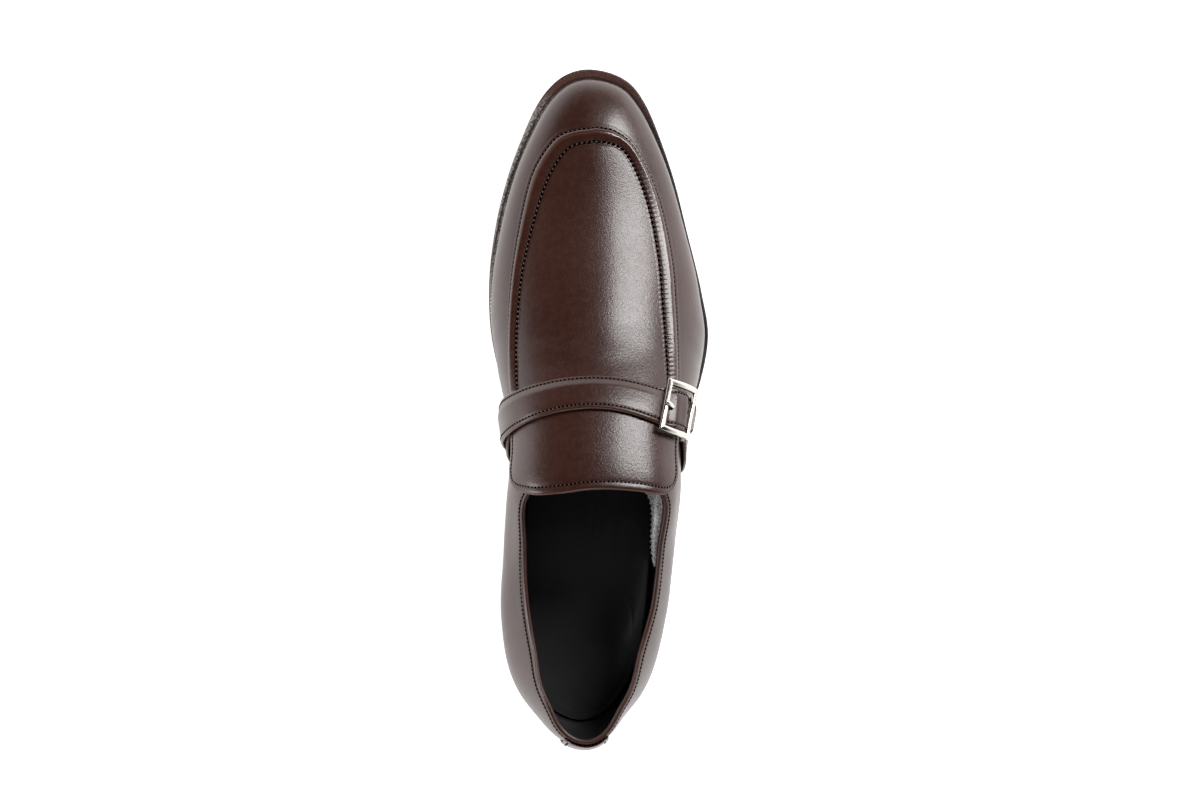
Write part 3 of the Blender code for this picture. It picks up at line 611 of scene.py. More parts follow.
def wallPlace(height, tuck=0.0, topDrop=0.0, relief=True):
    (dip, dipWidth), (topDepth, topReach) = upperLook["stitchDip"], upperLook["topRound"]

    def place(u, v):
        lateral, turn = around(u)
        reach = np.where(lateral, collarAt(1, turn), collarAt(-1, turn))
        strip, rows = upperLook["edgeStrip"], upperLook["edgeRows"]
        up = np.interp(v, [0, 1 - rows, 1], [0, 1 - strip, 1])
        tall = np.maximum(reach * halfGirth, 0.01)
        opened = reach < 1
        up = np.where(opened, up * (1 - topDrop / tall), up) * reach
        across = np.where(lateral, 2 - up, up)
        share = shareAt(turn)
        fromTop = np.where(opened, (reach - up) * halfGirth, 1.0)
        lift = np.full(u.shape, float(height))
        if relief:
            lift = lift + creased(share, across)
            lift = lift - dip * bump(fromTop, upperLook["stitchDrop"], dipWidth)
            lift = lift - topDepth * np.clip(1 - fromTop / topReach, 0, 1) ** 2
        spots = laid(turn, across, lift)
        spots[:, 2] -= tuck * np.clip(1 - up / 0.02, 0, 1)
        # Painted shade in the stitch groove below the topline, and painted shadow along the foot of the
        # upper
        seam = 0.8 * bump(fromTop, upperLook["stitchDrop"], 0.0004)
        seam = seam + 0.9 * np.clip(1 - up / upperLook["footShadow"], 0, 1)
        return spots, {"seam": seam, "rim": 0.25 * np.clip(1 - fromTop / 0.0008, 0, 1)}
    return place


upperPlace = wallPlace(0.0, upperLook["tuck"])
upperBody = shapedGrid(upperLook["columns"], upperLook["rows"], upperPlace, awayFromFoot)
addPiece("upperLeather", upperBody, calfUpper, ["upper"], thick=upperLook["leather"])

liningLook = {"columns": 200, "rows": 30, "thick": 0.0007, "apart": 0.0001, "below": 0.0004}
liningPlace = wallPlace(-upperLook["leather"] - liningLook["apart"], 0, liningLook["below"], False)
liningBody = shapedGrid(liningLook["columns"], liningLook["rows"], liningPlace, awayFromFoot)
addPiece("liningLeather", liningBody, lining, thick=liningLook["thick"])
print("upper ready")


def collarLine(u, height, drop=0.0):
    side = np.where(u <= 0.5, -1, 1)
    end = float(turnAt(upperLook["collarEnd"]))
    turn = np.where(u <= 0.5, end * (1 - 2 * u), end * (2 * u - 1))
    reach = np.where(side < 0, collarAt(-1, turn), collarAt(1, turn)) - drop / halfGirth
    across = np.where(side < 0, reach, 2 - reach)
    return turn, across, laid(turn, across, np.broadcast_to(height, turn.shape))


bindingLook = {"width": 0.00045, "rise": 0.00035, "inside": 0.00125, "above": 0.0001, "columns": 300}


def collarBinding():
    def place(u, v):
        turn, across, spots = collarLine(u, -bindingLook["inside"])
        angle = 2 * math.pi * v
        outward = lastNormal(turn, across)
        spots = spots + outward * (bindingLook["width"] * np.cos(angle))[:, None]
        spots[:, 2] += bindingLook["above"] + bindingLook["rise"] * np.sin(angle)
        return spots, {}
    body = shapedGrid(bindingLook["columns"], 8, place)
    closeEnds(body)
    addPiece("collarBinding", body, rawEdge)


collarBinding()


# The lining's front facing leans inwards below the topline on the lateral side
facingLook = {
    "front": 0.388, "reach": 0.135,  # shares of the length
    "width": 0.0064, "least": 0.0004, "taper": 0.6, "inside": 0.0021, "below": 0.0006,
    "columns": 90, "stitchAt": 3.9, "stitchFacing": (-0.5, 0.0, 0.85),
}
# Its section in widths: inwards, then up
facingSection = [
    (0.0, 0.0), (0.25, -0.06), (0.5, -0.22), (0.8, -0.5), (1.0, -0.8), (0.9, -1.0), (0.4, -1.3),
    (-0.1, -1.6), (0.0, 0.0),
]


def liningFacing():
    count = len(facingSection) - 1

    def place(u, v):
        turn = turnAt(facingLook["front"] - facingLook["reach"] * u)
        across = 2 - collarAt(1, turn)
        ends = (1 - u) ** facingLook["taper"] * np.sqrt(np.clip(u / 0.04, 0.05, 1))
        wide = facingLook["width"] * ends + facingLook["least"]
        spots = laid(turn, across, np.full(u.shape, -facingLook["inside"]))
        spots[:, 0] -= sectionAt(facingSection, v, 0) * wide
        spots[:, 2] += sectionAt(facingSection, v, 1) * wide - facingLook["below"]
        return spots, {}
    body = shapedGrid(facingLook["columns"], count * 2, place)
    closeEnds(body)
    # Its pale grey finish is a painted reflection on the black lining
    addPiece("liningFacing", body, facingReflectionFinish())
    u = np.linspace(0.04, 0.94, 200)
    spots, _ = place(u, np.full(u.shape, facingLook["stitchAt"] / count))
    normals = np.broadcast_to(np.array(facingLook["stitchFacing"]), spots.shape)
    threadRow("facingStitches", spots, normals, facingStitch, paleThread)


def edgeSpaced(u, amount):
    return u - amount * np.sin(2 * math.pi * u) / (2 * math.pi)


# How every cut edge and stitched line of a patch is shaped, in metres, and how dark its line is
patchLook = {
    "lowEdge": 0.45, "grooveDepth": 0.00022, "grooveWidth": 0.0005, "pad": 0.0001, "padOver": 0.004,
    "lineWidth": 0.00045, "lineDark": 0.35,
}


# A leather patch on the last. where() gives its turn and across, size its real width and length,
# free the sides whose edges show, and base the height of what it lies on
def patch(name, look, where, base, finish, replaced):
    wide, long = look["size"]
    thick, soft = look["thick"], look.get("soft", 0.0009)
    free = look["free"]

    def place(u, v):
        across01 = edgeSpaced(u, look.get("crowd", 0.75))
        along01 = edgeSpaced(v, look.get("crowdLong", 0.75))
        turn, across = where(across01, along01)
        far = np.full(u.shape, 1.0)
        if "left" in free:
            far = np.minimum(far, across01 * wide)
        if "right" in free:
            far = np.minimum(far, (1 - across01) * wide)
        if "start" in free:
            far = np.minimum(far, along01 * long)
        if "end" in free:
            far = np.minimum(far, (1 - along01) * long)
        rounding = np.sqrt(1 - np.clip(1 - far / soft, 0, 1) ** 2)
        low = patchLook["lowEdge"]
        height = base(across01, along01) + thick * (low + (1 - low) * rounding)
        groove = look["stitch"]
        height = height - patchLook["grooveDepth"] * bump(far, groove, patchLook["grooveWidth"])
        height = height + patchLook["pad"] * step(far, groove, groove + patchLook["padOver"])
        # A dark line along the stitch groove: painted shade in the recess
        seam = patchLook["lineDark"] * bump(far, groove, patchLook["lineWidth"])
        rim = look.get("wear", 0.6) * np.clip(1 - far / (0.6 * soft), 0, 1) ** 1.5
        return laid(turn, across, height), {"rim": rim, "seam": seam}
    body = shapedGrid(look["columns"], look["rows"], place, awayFromFoot)
    addPiece(name, body, finish, replaced, thick=patchLook["lowEdge"] * thick)


sheets = {"tab": 0.0020, "tongue": 0.0020, "strap": 0.0020}
underStrap = shoe["gap"] + max(sheets["tab"], sheets["tongue"]) + shoe["gap"]
strapFront = 0.62

tongueLook = {
    "size": (0.060, 0.034), "columns": 84, "rows": 46, "thick": sheets["tongue"], "soft": 0.0010,
    "free": ("left", "right", "end"), "stitch": 0.0024, "corner": 0.0100, "cornerWide": 1.5,
    "medial": 0.470, "lateral": 1.460, "wear": 0.9,
    "waves": [(0.22, 0.07, 0.00035), (0.40, 0.06, -0.0003), (0.80, 0.08, 0.0003)],  # place, width, height
}
# Rear edge of the flap: across, share of the length
tongueRear = [
    (0.470, 0.3625), (0.550, 0.3615), (0.620, 0.360), (0.720, 0.357), (0.865, 0.360), (1.000, 0.366),
    (1.140, 0.3638), (1.290, 0.358), (1.365, 0.3575), (1.460, 0.360),
]


def tongueWhere(u, v):
    corner = tongueLook["corner"]
    back = (1 - v) * tongueLook["size"][1]
    turnIn = corner - np.sqrt(np.clip(corner ** 2 - np.clip(corner - back, 0, None) ** 2, 0, None))
    inset = turnIn / halfGirth * tongueLook["cornerWide"]
    low, high = tongueLook["medial"] + inset, tongueLook["lateral"] - inset
    across = low + (high - low) * u
    rear, front = curve(across, tongueRear), strapShare(across, strapFront)
    return turnAt(front + (rear - front) * v), across


def tongueBase(u, v):
    sag = sum(high * bump(u, middle, wide) for middle, wide, high in tongueLook["waves"])
    return shoe["gap"] + sag * step(v, 0.15, 0.6) * (1 - 0.5 * v)


patch("tongueFlap", tongueLook, tongueWhere, tongueBase, calfStrap, ["tongue"])

tabLook = {
    "size": (0.036, 0.020), "columns": 40, "rows": 30, "thick": sheets["tab"],
    "free": ("start", "end", "right"), "stitch": 0.0022, "crowd": 0.6, "underFlap": 0.018,
}


def sideTab(side, name, node):
    top = onSide(side, tongueLook["medial"], 2 - tongueLook["lateral"]) - tabLook["underFlap"]

    def where(u, v):
        up = 0.01 + (top - 0.01) * u
        across = onSide(side, up, 2 - up)
        rear, front = curve(up, tabRows, onSide(side, 1, 2)), strapShare(across, strapFront)
        return turnAt(front + (rear - front) * v), across

    patch(name, tabLook, where, lambda u, v: np.full(u.shape, shoe["gap"]), calfStrap, [node])


sideTab(-1, "sideTabMedial", "side_tab_medial")
sideTab(1, "sideTabLateral", "side_tab_lateral")

# The strap, in its own sizes: along from the buckle's pin and sideways towards the toe
buckle = {
    "across": 1.386, "length": 0.0195, "width": 0.0230, "bar": 0.0024, "thick": 0.0020,
    "pinThick": 0.0014, "prong": 0.0016, "tail": 0.0205, "prongStart": 0.0042,
}
buckleAcross = np.linspace(buckle["across"] - 0.1, buckle["across"] + 0.1, 12)
buckleTurn = float(turnAt(strapShare(buckle["across"], 0)))
girthSteps = np.diff(lastPoint(np.full(12, buckleTurn), buckleAcross), axis=0)
acrossPerMetre = 0.2 / float(np.linalg.norm(girthSteps, axis=1).sum())
strapSlant = shoe["length"] * acrossPerMetre * float(
    strapShare(buckle["across"] - 0.1, 0) - strapShare(buckle["across"] + 0.1, 0)) / 0.2
pinTop = underStrap + buckle["pinThick"]
frameBottom = underStrap + sheets["strap"] + shoe["gap"]


def onStrap(along, sideways, height):
    square = np.asarray(along, float) + strapSlant * np.asarray(sideways, float)
    across = buckle["across"] + square * acrossPerMetre
    share = strapShare(across, 0) + np.asarray(sideways, float) / shoe["length"]
    return laid(turnAt(share), across, height)


strapLook = {
    "size": (0.0165, 0.125), "columns": 44, "rows": 220, "thick": sheets["strap"], "soft": 0.0011,
    "free": ("left", "right", "end"), "stitch": 0.0019, "crowdLong": 0.0, "wear": 0.5,
    "start": 0.01, "fineFrom": 0.62, "finePlace": -0.012,  # where the grid gets fine, before the buckle
    "puff": (0.0042, 0.0022, 0.0007), "sink": (-0.0012, 0.0016, 0.0004),  # place, width, height
}
tailEnd = buckle["across"] + buckle["tail"] * acrossPerMetre
strapSteps = [0, strapLook["fineFrom"], 1]
strapPlaces = [strapLook["start"], buckle["across"] + strapLook["finePlace"] * acrossPerMetre, tailEnd]


def strapAlong(v):
    across = np.interp(v, strapSteps, strapPlaces)
    return across, (across - buckle["across"]) / acrossPerMetre


def strapWhere(u, v):
    across, along = strapAlong(v)
    tail = buckle["tail"]
    narrow = np.clip((along - buckle["bar"]) / tail, 0, 1)
    intoCurve = np.clip((along - 0.55 * tail) / (0.45 * tail), 0, 1)
    width = (1 - 0.12 * narrow) * np.sqrt(1 - 0.97 * intoCurve ** 2)
    share = strapShare(across, (2 * u - 1) * width)
    return turnAt(share), across


def overPin(along):
    return (pinTop + shoe["gap"] - underStrap) * np.exp(-(along / 0.0048) ** 4)


def strapBase(u, v):
    across, along = strapAlong(v)
    lift = 2 * u - 1
    down = (np.sqrt(np.clip((lift - 0.3) / 0.7, 0, 1) ** 2 + 0.01) - 0.1) / 0.905
    front = underStrap - (underStrap - shoe["gap"]) * down * 0.9
    near = np.clip((across - 1.25) / 0.06, 0, 1)
    place, wide, high = strapLook["puff"]
    puff = high * bump(along, place, wide) * (1 - lift ** 2)
    place, wide, deep = strapLook["sink"]
    sink = -deep * bump(along, buckle["length"] / 2 + place, wide)
    return front * (1 - near) + underStrap * near + overPin(along) + puff + sink


patch("strapLeather", strapLook, strapWhere, strapBase, calfStrap, ["strap"])
print("straps ready")

# The raised seam round the vamp
seamLook = {
    "columns": 1100, "pitch": 0.0023, "pucker": 0.00022, "height": 0.0015,
    "start": float(strapShare(0.43, 1.0)) - 0.008, "ends": 0.012, "crest": 0.40,
    "thick": 0.0001, "lift": 0.00003, "sunkEnds": 0.0004,
}
# Cross-section from outside to inside: place between the rows, height as a share, darkness as painted
# groove shade
seamSection = [
    (-0.50, -0.30, 0.0), (-0.32, -0.03, 0.0), (-0.20, 0.02, 0.0), (-0.10, 0.03, 0.2), (-0.03, -0.05, 0.9),
    (0.03, -0.02, 0.9), (0.08, 0.40, 0.3), (0.14, 0.66, 0.0), (0.22, 0.84, 0.0), (0.30, 0.95, 0.0),
    (0.37, 1.00, 0.0), (0.43, 1.00, 0.0), (0.51, 0.93, 0.0), (0.63, 0.74, 0.0), (0.78, 0.52, 0.0),
    (0.89, 0.30, 0.2), (0.94, 0.06, 0.9), (1.00, 0.00, 0.9), (1.06, 0.04, 0.4), (1.12, 0.03, 0.0),
    (1.20, 0.00, 0.0), (1.28, -0.05, 0.0), (1.36, -0.30, 0.0),
]


def seamAlong(u):
    start = float(turnAt(seamLook["start"]))
    medial = u <= 0.5
    turn = start + (1 - start) * np.where(medial, 2 * u, 2 - 2 * u)
    outer = np.where(medial, curve(turn, seamTurns, 1), curve(turn, seamTurns, 3))
    inner = np.where(medial, curve(turn, seamTurns, 2), curve(turn, seamTurns, 4))
    return turn, outer, inner


seamU = np.linspace(0, 1, 2001)
seamTurn, seamOuter, seamInner = seamAlong(seamU)
seamPath = lastPoint(seamTurn, seamInner)
seamLength = np.concatenate([[0], np.cumsum(np.linalg.norm(np.diff(seamPath, axis=0), axis=1))])


def raisedSeam():
    crest = seamLook["crest"]

    def place(u, v):
        turn, outer, inner = seamAlong(u)
        where, rise, dark = [sectionAt(seamSection, v, column) for column in range(3)]
        across = outer + (inner - outer) * where
        run = np.interp(u, seamU, seamLength)
        share = shareAt(turn)
        toSide, toStrap = 1 - step(share, 0.80, 0.97), 1 - step(share, 0.56, 0.80)
        gather = seamLook["pucker"] * (0.2 + 0.8 * toSide * toStrap + 0.2 * toSide)
        phase = np.cos(2 * math.pi * run / seamLook["pitch"])
        pucker = gather * phase * (bump(where, 0.87, 0.08) + 0.6 * bump(where, 1.10, 0.08))
        ends = step(u, 0, seamLook["ends"]) * step(1 - u, 0, seamLook["ends"])
        height = seamLook["lift"] + (seamLook["height"] * rise + pucker) * ends
        height = height - seamLook["sunkEnds"] * (1 - ends)
        height = height + creased(share, across)
        # A paler line along the crest paints its highlight; the gloss mark only makes the crest smoother
        rim, gloss = 0.3 * bump(where, crest, 0.06), bump(where, crest, 0.24)
        return laid(turn, across, height), {"seam": dark * 0.8, "rim": rim, "gloss": gloss}
    body = shapedGrid(seamLook["columns"], len(seamSection) - 1, place, awayFromFoot)
    addPiece("raisedSeam", body, calfUpper, ["apron_bead"], thick=seamLook["thick"])


raisedSeam()

heelTabLook = {
    "size": (0.020, 0.031), "columns": 40, "rows": 40, "thick": 0.0010, "soft": 0.0006, "lift": 0.0002,
    "free": ("left", "right", "start"), "stitch": 0.0018, "reach": (0.42, 0.985), "stitchTop": 0.90,
}
heelTries = np.linspace(0, float(turnAt(shoe["breast"])), 61)


def heelTabWhere(u, v):
    sideways = (u - 0.5) * heelTabLook["size"][0]
    turn = np.zeros_like(u)
    across = np.zeros_like(u)
    for side in (-1, 1):
        mask = sideways * side >= 0
        width = np.abs(lastPoint(heelTries, onSide(side, 0.3, 1.7))[:, 0])
        turn[mask] = np.interp(np.abs(sideways[mask]), width, heelTries)
        low, high = heelTabLook["reach"]
        up = collarAt(side, turn[mask]) * (low + (high - low) * v[mask])
        across[mask] = onSide(side, up, 2 - up)
    return turn, across


def heelTabBase(u, v):
    return np.full(u.shape, heelTabLook["lift"])


patch("heelTab", heelTabLook, heelTabWhere, heelTabBase, calfStrap, ["heel_tab"])
print("seam and heel tab ready")

# Section of the buckle's bars from the hole outwards: inset in bar widths, height in bar thicknesses
barSection = [
    (1.00, 0.0), (0.00, 0.0), (0.00, 0.66), (0.08, 0.78), (0.43, 1.0),
    (0.57, 1.0), (0.92, 0.78), (1.00, 0.66), (1.00, 0.0),
]
frameLook = {"perSide": 10, "edge": 0.00014, "sharp": math.radians(30)}


def weldedFrame():
    def place(u, v):
        inset = sectionAt(barSection, v, 0) * buckle["bar"]
        height = sectionAt(barSection, v, 1) * buckle["thick"]
        a, b = buckle["length"] / 2 - inset, buckle["width"] / 2 - inset
        corner = (u * 4) % 4
        quarter = np.floor(np.clip(corner, 0, 3.9999)).astype(int)
        ramp = 2 * (corner - quarter) - 1
        sides = [quarter == 0, quarter == 1, quarter == 2, quarter == 3]
        along = np.select(sides, [a * ramp, a, -a * ramp, -a])
        wide = np.select(sides, [-b, b * ramp, b, -b * ramp])
        return onStrap(along, wide, frameBottom + height), {}
    body = shapedGrid(4 * frameLook["perSide"], len(barSection) - 1, place)
    piece = addPiece("buckleFrame", body, nickel, ["buckle_frame"], edge=frameLook["edge"])
    piece.data.set_sharp_from_angle(angle=frameLook["sharp"])


weldedFrame()


def rod(name, centreline, radius, sides, steps, replaced=()):
    def place(u, v):
        angle = 2 * math.pi * v
        along, sideways, height, thick, wide = centreline(u)
        sideways, height = sideways + wide * radius * np.cos(angle), height + thick * radius * np.sin(angle)
        return onStrap(along, sideways, height), {}
    body = shapedGrid(steps, sides, place)
    addPiece(name, body, nickel, replaced)


def prongLine(u):
    radius = buckle["prong"] / 2
    start = underStrap + overPin(buckle["prongStart"]) + sheets["strap"] - 0.0006
    end = frameBottom + buckle["thick"] + 0.0001
    blunt = np.sqrt(np.clip(1 - np.clip((u - 0.9) / 0.1, 0, 1) ** 2, 0, 1))
    blunt = blunt * np.sqrt(np.clip(u / 0.05, 0, 1))
    thick = (1 - 0.25 * u) * blunt
    along = -buckle["prongStart"] - u * (buckle["length"] / 2 + 0.0002 - buckle["prongStart"])
    height = start + (end - start) * np.sin(u * math.pi / 2) + radius * 0.75
    return along, np.zeros_like(u), height, thick, 1.3 * thick


rod("buckleProng", prongLine, buckle["prong"] / 2, 14, 30, ["buckle_prong"])


def pinLine(u):
    end = buckle["width"] / 2 - 0.6 * buckle["bar"]
    height = np.full(u.shape, underStrap + buckle["pinThick"] / 2)
    bent = np.interp(np.abs(2 * u - 1), [0, 0.9, 1.0], [0, 0, 1])
    height = bent * (frameBottom - underStrap) * 0.6 + height
    closed = np.sqrt(np.clip(np.minimum(u, 1 - u) / 0.01, 0, 1))
    return np.zeros_like(u), (2 * u - 1) * end, height, closed, closed


rod("bucklePin", pinLine, buckle["pinThick"] / 2, 10, 40)
print("buckle ready")


# Sole unit
def soleRing(u, inset):
    lateral, turn = around(u)
    x1, y1 = soleEdge(1, turn, inset)
    x2, y2 = soleEdge(-1, turn, inset)
    return np.where(lateral, x1, x2), np.where(lateral, y1, y2)


weltLook = {"columns": 1500, "wheelPitch": 0.0017, "wheel": 0.00016, "from": 0.40,
            "overhang": 0.42, "crease": 0.00045}
ringU = np.linspace(0, 1, 3001)
ringX, ringY = soleRing(ringU, 0.002)
ringLength = np.concatenate([[0], np.cumsum(np.hypot(np.diff(ringX), np.diff(ringY)))])


def weltFinish():
    finish = Finish("weltLeather", {"IOR": 1.48})
    spot = finish.place()
    speckle = finish.between(finish.noise(spot, 1100, 2, 0.7), 0.42, 0.60)
    cloud = finish.noise(spot, 60, 3, 0.5)
    plain = finish.blend(cloud, rgb(30, 20, 17), rgb(46, 30, 25))
    plain = finish.blend(finish.mark("toe"), plain, rgb(80, 48, 41))
    # Paler speckle on the welt's top along the medial side
    paled = finish.blend(speckle, rgb(104, 92, 88), rgb(206, 196, 190))
    colour = finish.blend(finish.mark("pale"), plain, paled)
    # Darker in the crease by the upper, a painted shadow, and along the toe's outer edge
    colour = finish.blend(finish.mark("seam"), colour, rgb(12, 9, 8))
    normal = finish.bumped(speckle, 0.00005)
    return finish.give(colour=colour, rough=0.38 + cloud * 0.15, normal=normal)


def makeWelt():
    width, tall, soft = shoe["weltWidth"], shoe["welt"], 0.0007
    # Section: inset from the sole's edge, height, wheeling
    section = [
        (width, 0, 0), (soft, 0, 0), (0.0004, 0.0002, 0), (0.0003, soft, 0), (0.0003, tall - soft, 0),
        (0.0005, tall - 0.0002, 0.3), (0.0010, tall, 1), (0.0014, tall, 1), (0.0018, tall, 0.9),
        (0.0022, tall, 0.4), *[(0.0026 + 0.0004 * i, tall, 0) for i in range(6)],
        (0.0052, tall - 0.0001, 0), (width, tall - 0.0001, 0), (width, 0, 0),
    ]

    def place(u, v):
        inset, height, wheel = [sectionAt(section, v, column) for column in range(3)]
        x, y = soleRing(u, inset)
        run = np.interp(u, ringU, ringLength)
        share = y / shoe["length"]
        ahead = step(share, weltLook["from"], weltLook["from"] + 0.04)
        notch = np.abs(np.sin(math.pi * run / weltLook["wheelPitch"])) ** 0.6 - 1
        tooth = weltLook["wheel"] * wheel * ahead * notch
        z = weltBottom(y) + height + tooth
        margin, bulge = [np.where(u <= 0.5, curve(share, rows, 2), curve(share, rows, 1))
                         for rows in (marginRows, wallRows)]
        crease = (margin - bulge * weltLook["overhang"]) * shoe["ballWidth"]
        # Painted shadow in the crease where the overhanging upper meets the welt
        seam = 0.95 * bump(inset, crease, weltLook["crease"]) * (height > 0.002)
        onTop = (height > tall - 0.0006) * (inset > 0.0002)
        medial = (u > 0.5) * step(share, 0.52, 0.60) * (1 - step(share, 0.92, 0.97))
        toe = step(share, 0.90, 0.96)
        # A thin dark line along the outer edge at the toe
        seam = np.maximum(seam, 0.7 * bump(inset, 0.0003, 0.0003) * toe)
        return np.stack([x, y, z], -1) + origin, {"seam": seam, "pale": onTop * medial, "toe": onTop * toe}
    body = shapedGrid(weltLook["columns"], len(section) - 1, place)
    addPiece("weltStrip", body, weltFinish(), ["welt"])


makeWelt()


def solePlate(name, look, height, inset, finish, replaced, relief=None, rimFinish=None):
    def place(u, v):
        x1, y1 = soleEdge(-1, u, inset(-1, u))
        x2, y2 = soleEdge(1, u, inset(1, u))
        x, y = x1 + (x2 - x1) * v, y1 + (y2 - y1) * v
        z = height(y)
        if relief:
            z = z + relief(x, y)
        return np.stack([x, y, z], -1) + origin, {}
    body = shapedGrid(look["columns"], look["rows"], place, lambda spot: Vector((0, 0, look["facing"])))
    addPiece(name, body, finish, replaced, thick=look["thick"], rimFinish=rimFinish)


soleLook = {"columns": 160, "rows": 12, "facing": -1, "thick": shoe["outsole"]}
solePlate("soleLeather", soleLook, soleBottom, lambda side, u: 0.0, tread, ["outsole"],
          rimFinish=stack)


def insoleInset(side, u):
    margin = curve(shareAt(u), marginRows, onSide(side, 1, 2)) * shoe["ballWidth"]
    return margin + shoe["wall"] + shoe["gap"]


sockLook = {
    "columns": 260, "rows": 90, "facing": 1, "thick": shoe["insole"] - 0.0002,
    "wrinkle": 0.0009, "wrinkleEnd": 0.012, "sway": 0.0012, "swayPitch": 0.011,
    "padMiddle": (-0.001, 0.045), "padSize": (0.024, 0.037), "padLine": 0.00006,
}
# Fine lengthwise wrinkles in the sock: sideways place, start and end along the shoe, depth
sockWrinkles = [
    (0.004, 0.080, 0.122, 0.00045), (0.009, 0.086, 0.128, 0.00038), (0.013, 0.078, 0.112, 0.00040),
    (0.0005, 0.092, 0.120, 0.00030), (0.017, 0.090, 0.118, 0.00028),
]


def sockRelief(x, y):
    rise = np.zeros_like(x)
    fade = sockLook["wrinkleEnd"]
    for side, start, end, depth in sockWrinkles:
        sway = sockLook["sway"] * np.sin(y / sockLook["swayPitch"] + side * 900)
        ends = step(y, start, start + fade) * (1 - step(y, end - fade, end))
        rise = rise - depth * bump(x, side + sway, sockLook["wrinkle"]) * ends
    (middleX, middleY), (halfX, halfY) = sockLook["padMiddle"], sockLook["padSize"]
    pad = np.hypot((x - middleX) / halfX, (y - middleY) / halfY)
    return rise - sockLook["padLine"] * bump(pad, 1.0, 0.02)


def sockHeight(y):
    return featherHeight(y) + shoe["insole"]


solePlate("sockLining", sockLook, sockHeight, insoleInset, lining, ["insole"], sockRelief)


heelLook = {
    "columns": 200, "round": 0.42, "hollow": 0.0062, "sharp": math.radians(15),
    "lifts": 4, "inset": 0.0021, "taper": 0.0007, "grooveDepth": 0.00018, "grooveHeight": 0.0003,
    "part": 0.0002,  # left free above the top piece and under the sole
}


# A block under the heel: round behind, hollow at the breast. Layers: inset, height, darkness
def heelBlock(name, layers, finish, node):
    front = shoe["length"] * shoe["breast"]
    turnEnd = float(turnAt(shoe["breast"]))
    bend = heelLook["round"]

    def place(u, v):
        inset, z, groove = [sectionAt(layers, v, column) for column in range(3)]
        breast = front - inset
        turn = turnEnd * np.clip(np.where(u < bend, u / bend, (1 - u) / bend), 0, 1)
        x1, y1 = soleEdge(1, turn, inset)
        x2, y2 = soleEdge(-1, turn, inset)
        x = np.where(u < 0.5, x1, x2)
        y = np.minimum(np.where(u < 0.5, y1, y2), breast)
        q = np.clip((u - bend) / (1 - 2 * bend), 0, 1)
        flat = (u > bend) & (u < 1 - bend)
        corner1, corner2 = [soleEdge(side, np.full(u.shape, turnEnd), inset)[0] for side in (1, -1)]
        x = np.where(flat, corner1 + (corner2 - corner1) * q, x)
        y = np.where(flat, breast - 4 * heelLook["hollow"] * q * (1 - q), y)
        return np.stack([x, y, z], -1) + origin, {"seam": groove}
    body = shapedGrid(heelLook["columns"], len(layers) - 1, place)
    closeEnds(body)
    piece = addPiece(name, body, finish, [node])
    piece.data.set_sharp_from_angle(angle=heelLook["sharp"])


def stackLayers():
    bottom, top = shoe["lift"] + heelLook["part"], shoe["heelHeight"] - heelLook["part"]
    deep, tall, lifts = heelLook["grooveDepth"], heelLook["grooveHeight"], heelLook["lifts"]
    rows = []
    for i in range(lifts):
        low, high = bottom + (top - bottom) * i / lifts, bottom + (top - bottom) * (i + 1) / lifts
        out = heelLook["inset"] - heelLook["taper"] * (i + 0.5) / lifts
        groove = out + deep
        rows += [(groove, low, 0.8), (out, low + tall, 0), (out, high - tall, 0), (groove, high, 0.8)]
    return rows


liftLayers = [(0.0028, 0.0, 0), (0.0023, 0.0002, 0), (0.0021, 0.0007, 0), (0.0021, shoe["lift"], 0)]
heelBlock("heelStack", stackLayers(), stack, "heel_stack")
heelBlock("heelLift", liftLayers, rubber, "heel_lift")
print("sole ready")


# Stitches: one row of small rounded threads along a line on the last
def stitchRow(name, turn, across, height, look):
    spots = laid(turn, across, np.broadcast_to(height, turn.shape))
    threadRow(name, spots, lastNormal(turn, across), look, thread)


def addBead(body, tangent, side, up, spot, size, index):
    long, wide, tall = size
    matrix = Matrix((tangent * long / 2, side * wide / 2, up * tall / 2)).transposed().to_4x4()
    matrix.translation = Vector(spot)
    made = bmesh.ops.create_uvsphere(body, u_segments=6, v_segments=4, radius=1, matrix=matrix)
    for face in {face for vert in made["verts"] for face in vert.link_faces}:
        face.material_index = index


def threadRow(name, spots, normals, look, finish):
    run = np.concatenate([[0], np.cumsum(np.linalg.norm(np.diff(spots, axis=0), axis=1))])
    count = max(int(run[-1] / look["pitch"]), 1)
    near = 0.0004
    whole, body = bmesh.new(), bmesh.new()
    for i in range(count):
        at = (i + 0.5) * run[-1] / count
        ends = [np.array([np.interp(at + d, run, spots[:, k]) for k in range(3)]) for d in (-near, 0, near)]
        tangent = Vector(ends[2] - ends[0]).normalized()
        up = Vector([np.interp(at, run, normals[:, k]) for k in range(3)]).normalized()
        side = up.cross(tangent).normalized()
        up = tangent.cross(side)
        slant = look.get("slant", 0.0)
        tangent, side = tangent + side * slant, side - tangent * slant
        addBead(body, tangent, side, up, ends[1], look["size"], 0)
        if "hole" in look:
            before = [np.interp(at - run[-1] / count / 2, run, spots[:, k]) for k in range(3)]
            addBead(body, tangent, side, up, before, look["hole"], 1)
        if i % 30 == 29 or i == count - 1:
            some = bpy.data.meshes.new("some")
            body.to_mesh(some)
            whole.from_mesh(some)
            body.clear()
            bpy.data.meshes.remove(some)
    body.free()
    addPiece(name, whole, finish, rimFinish=hole)


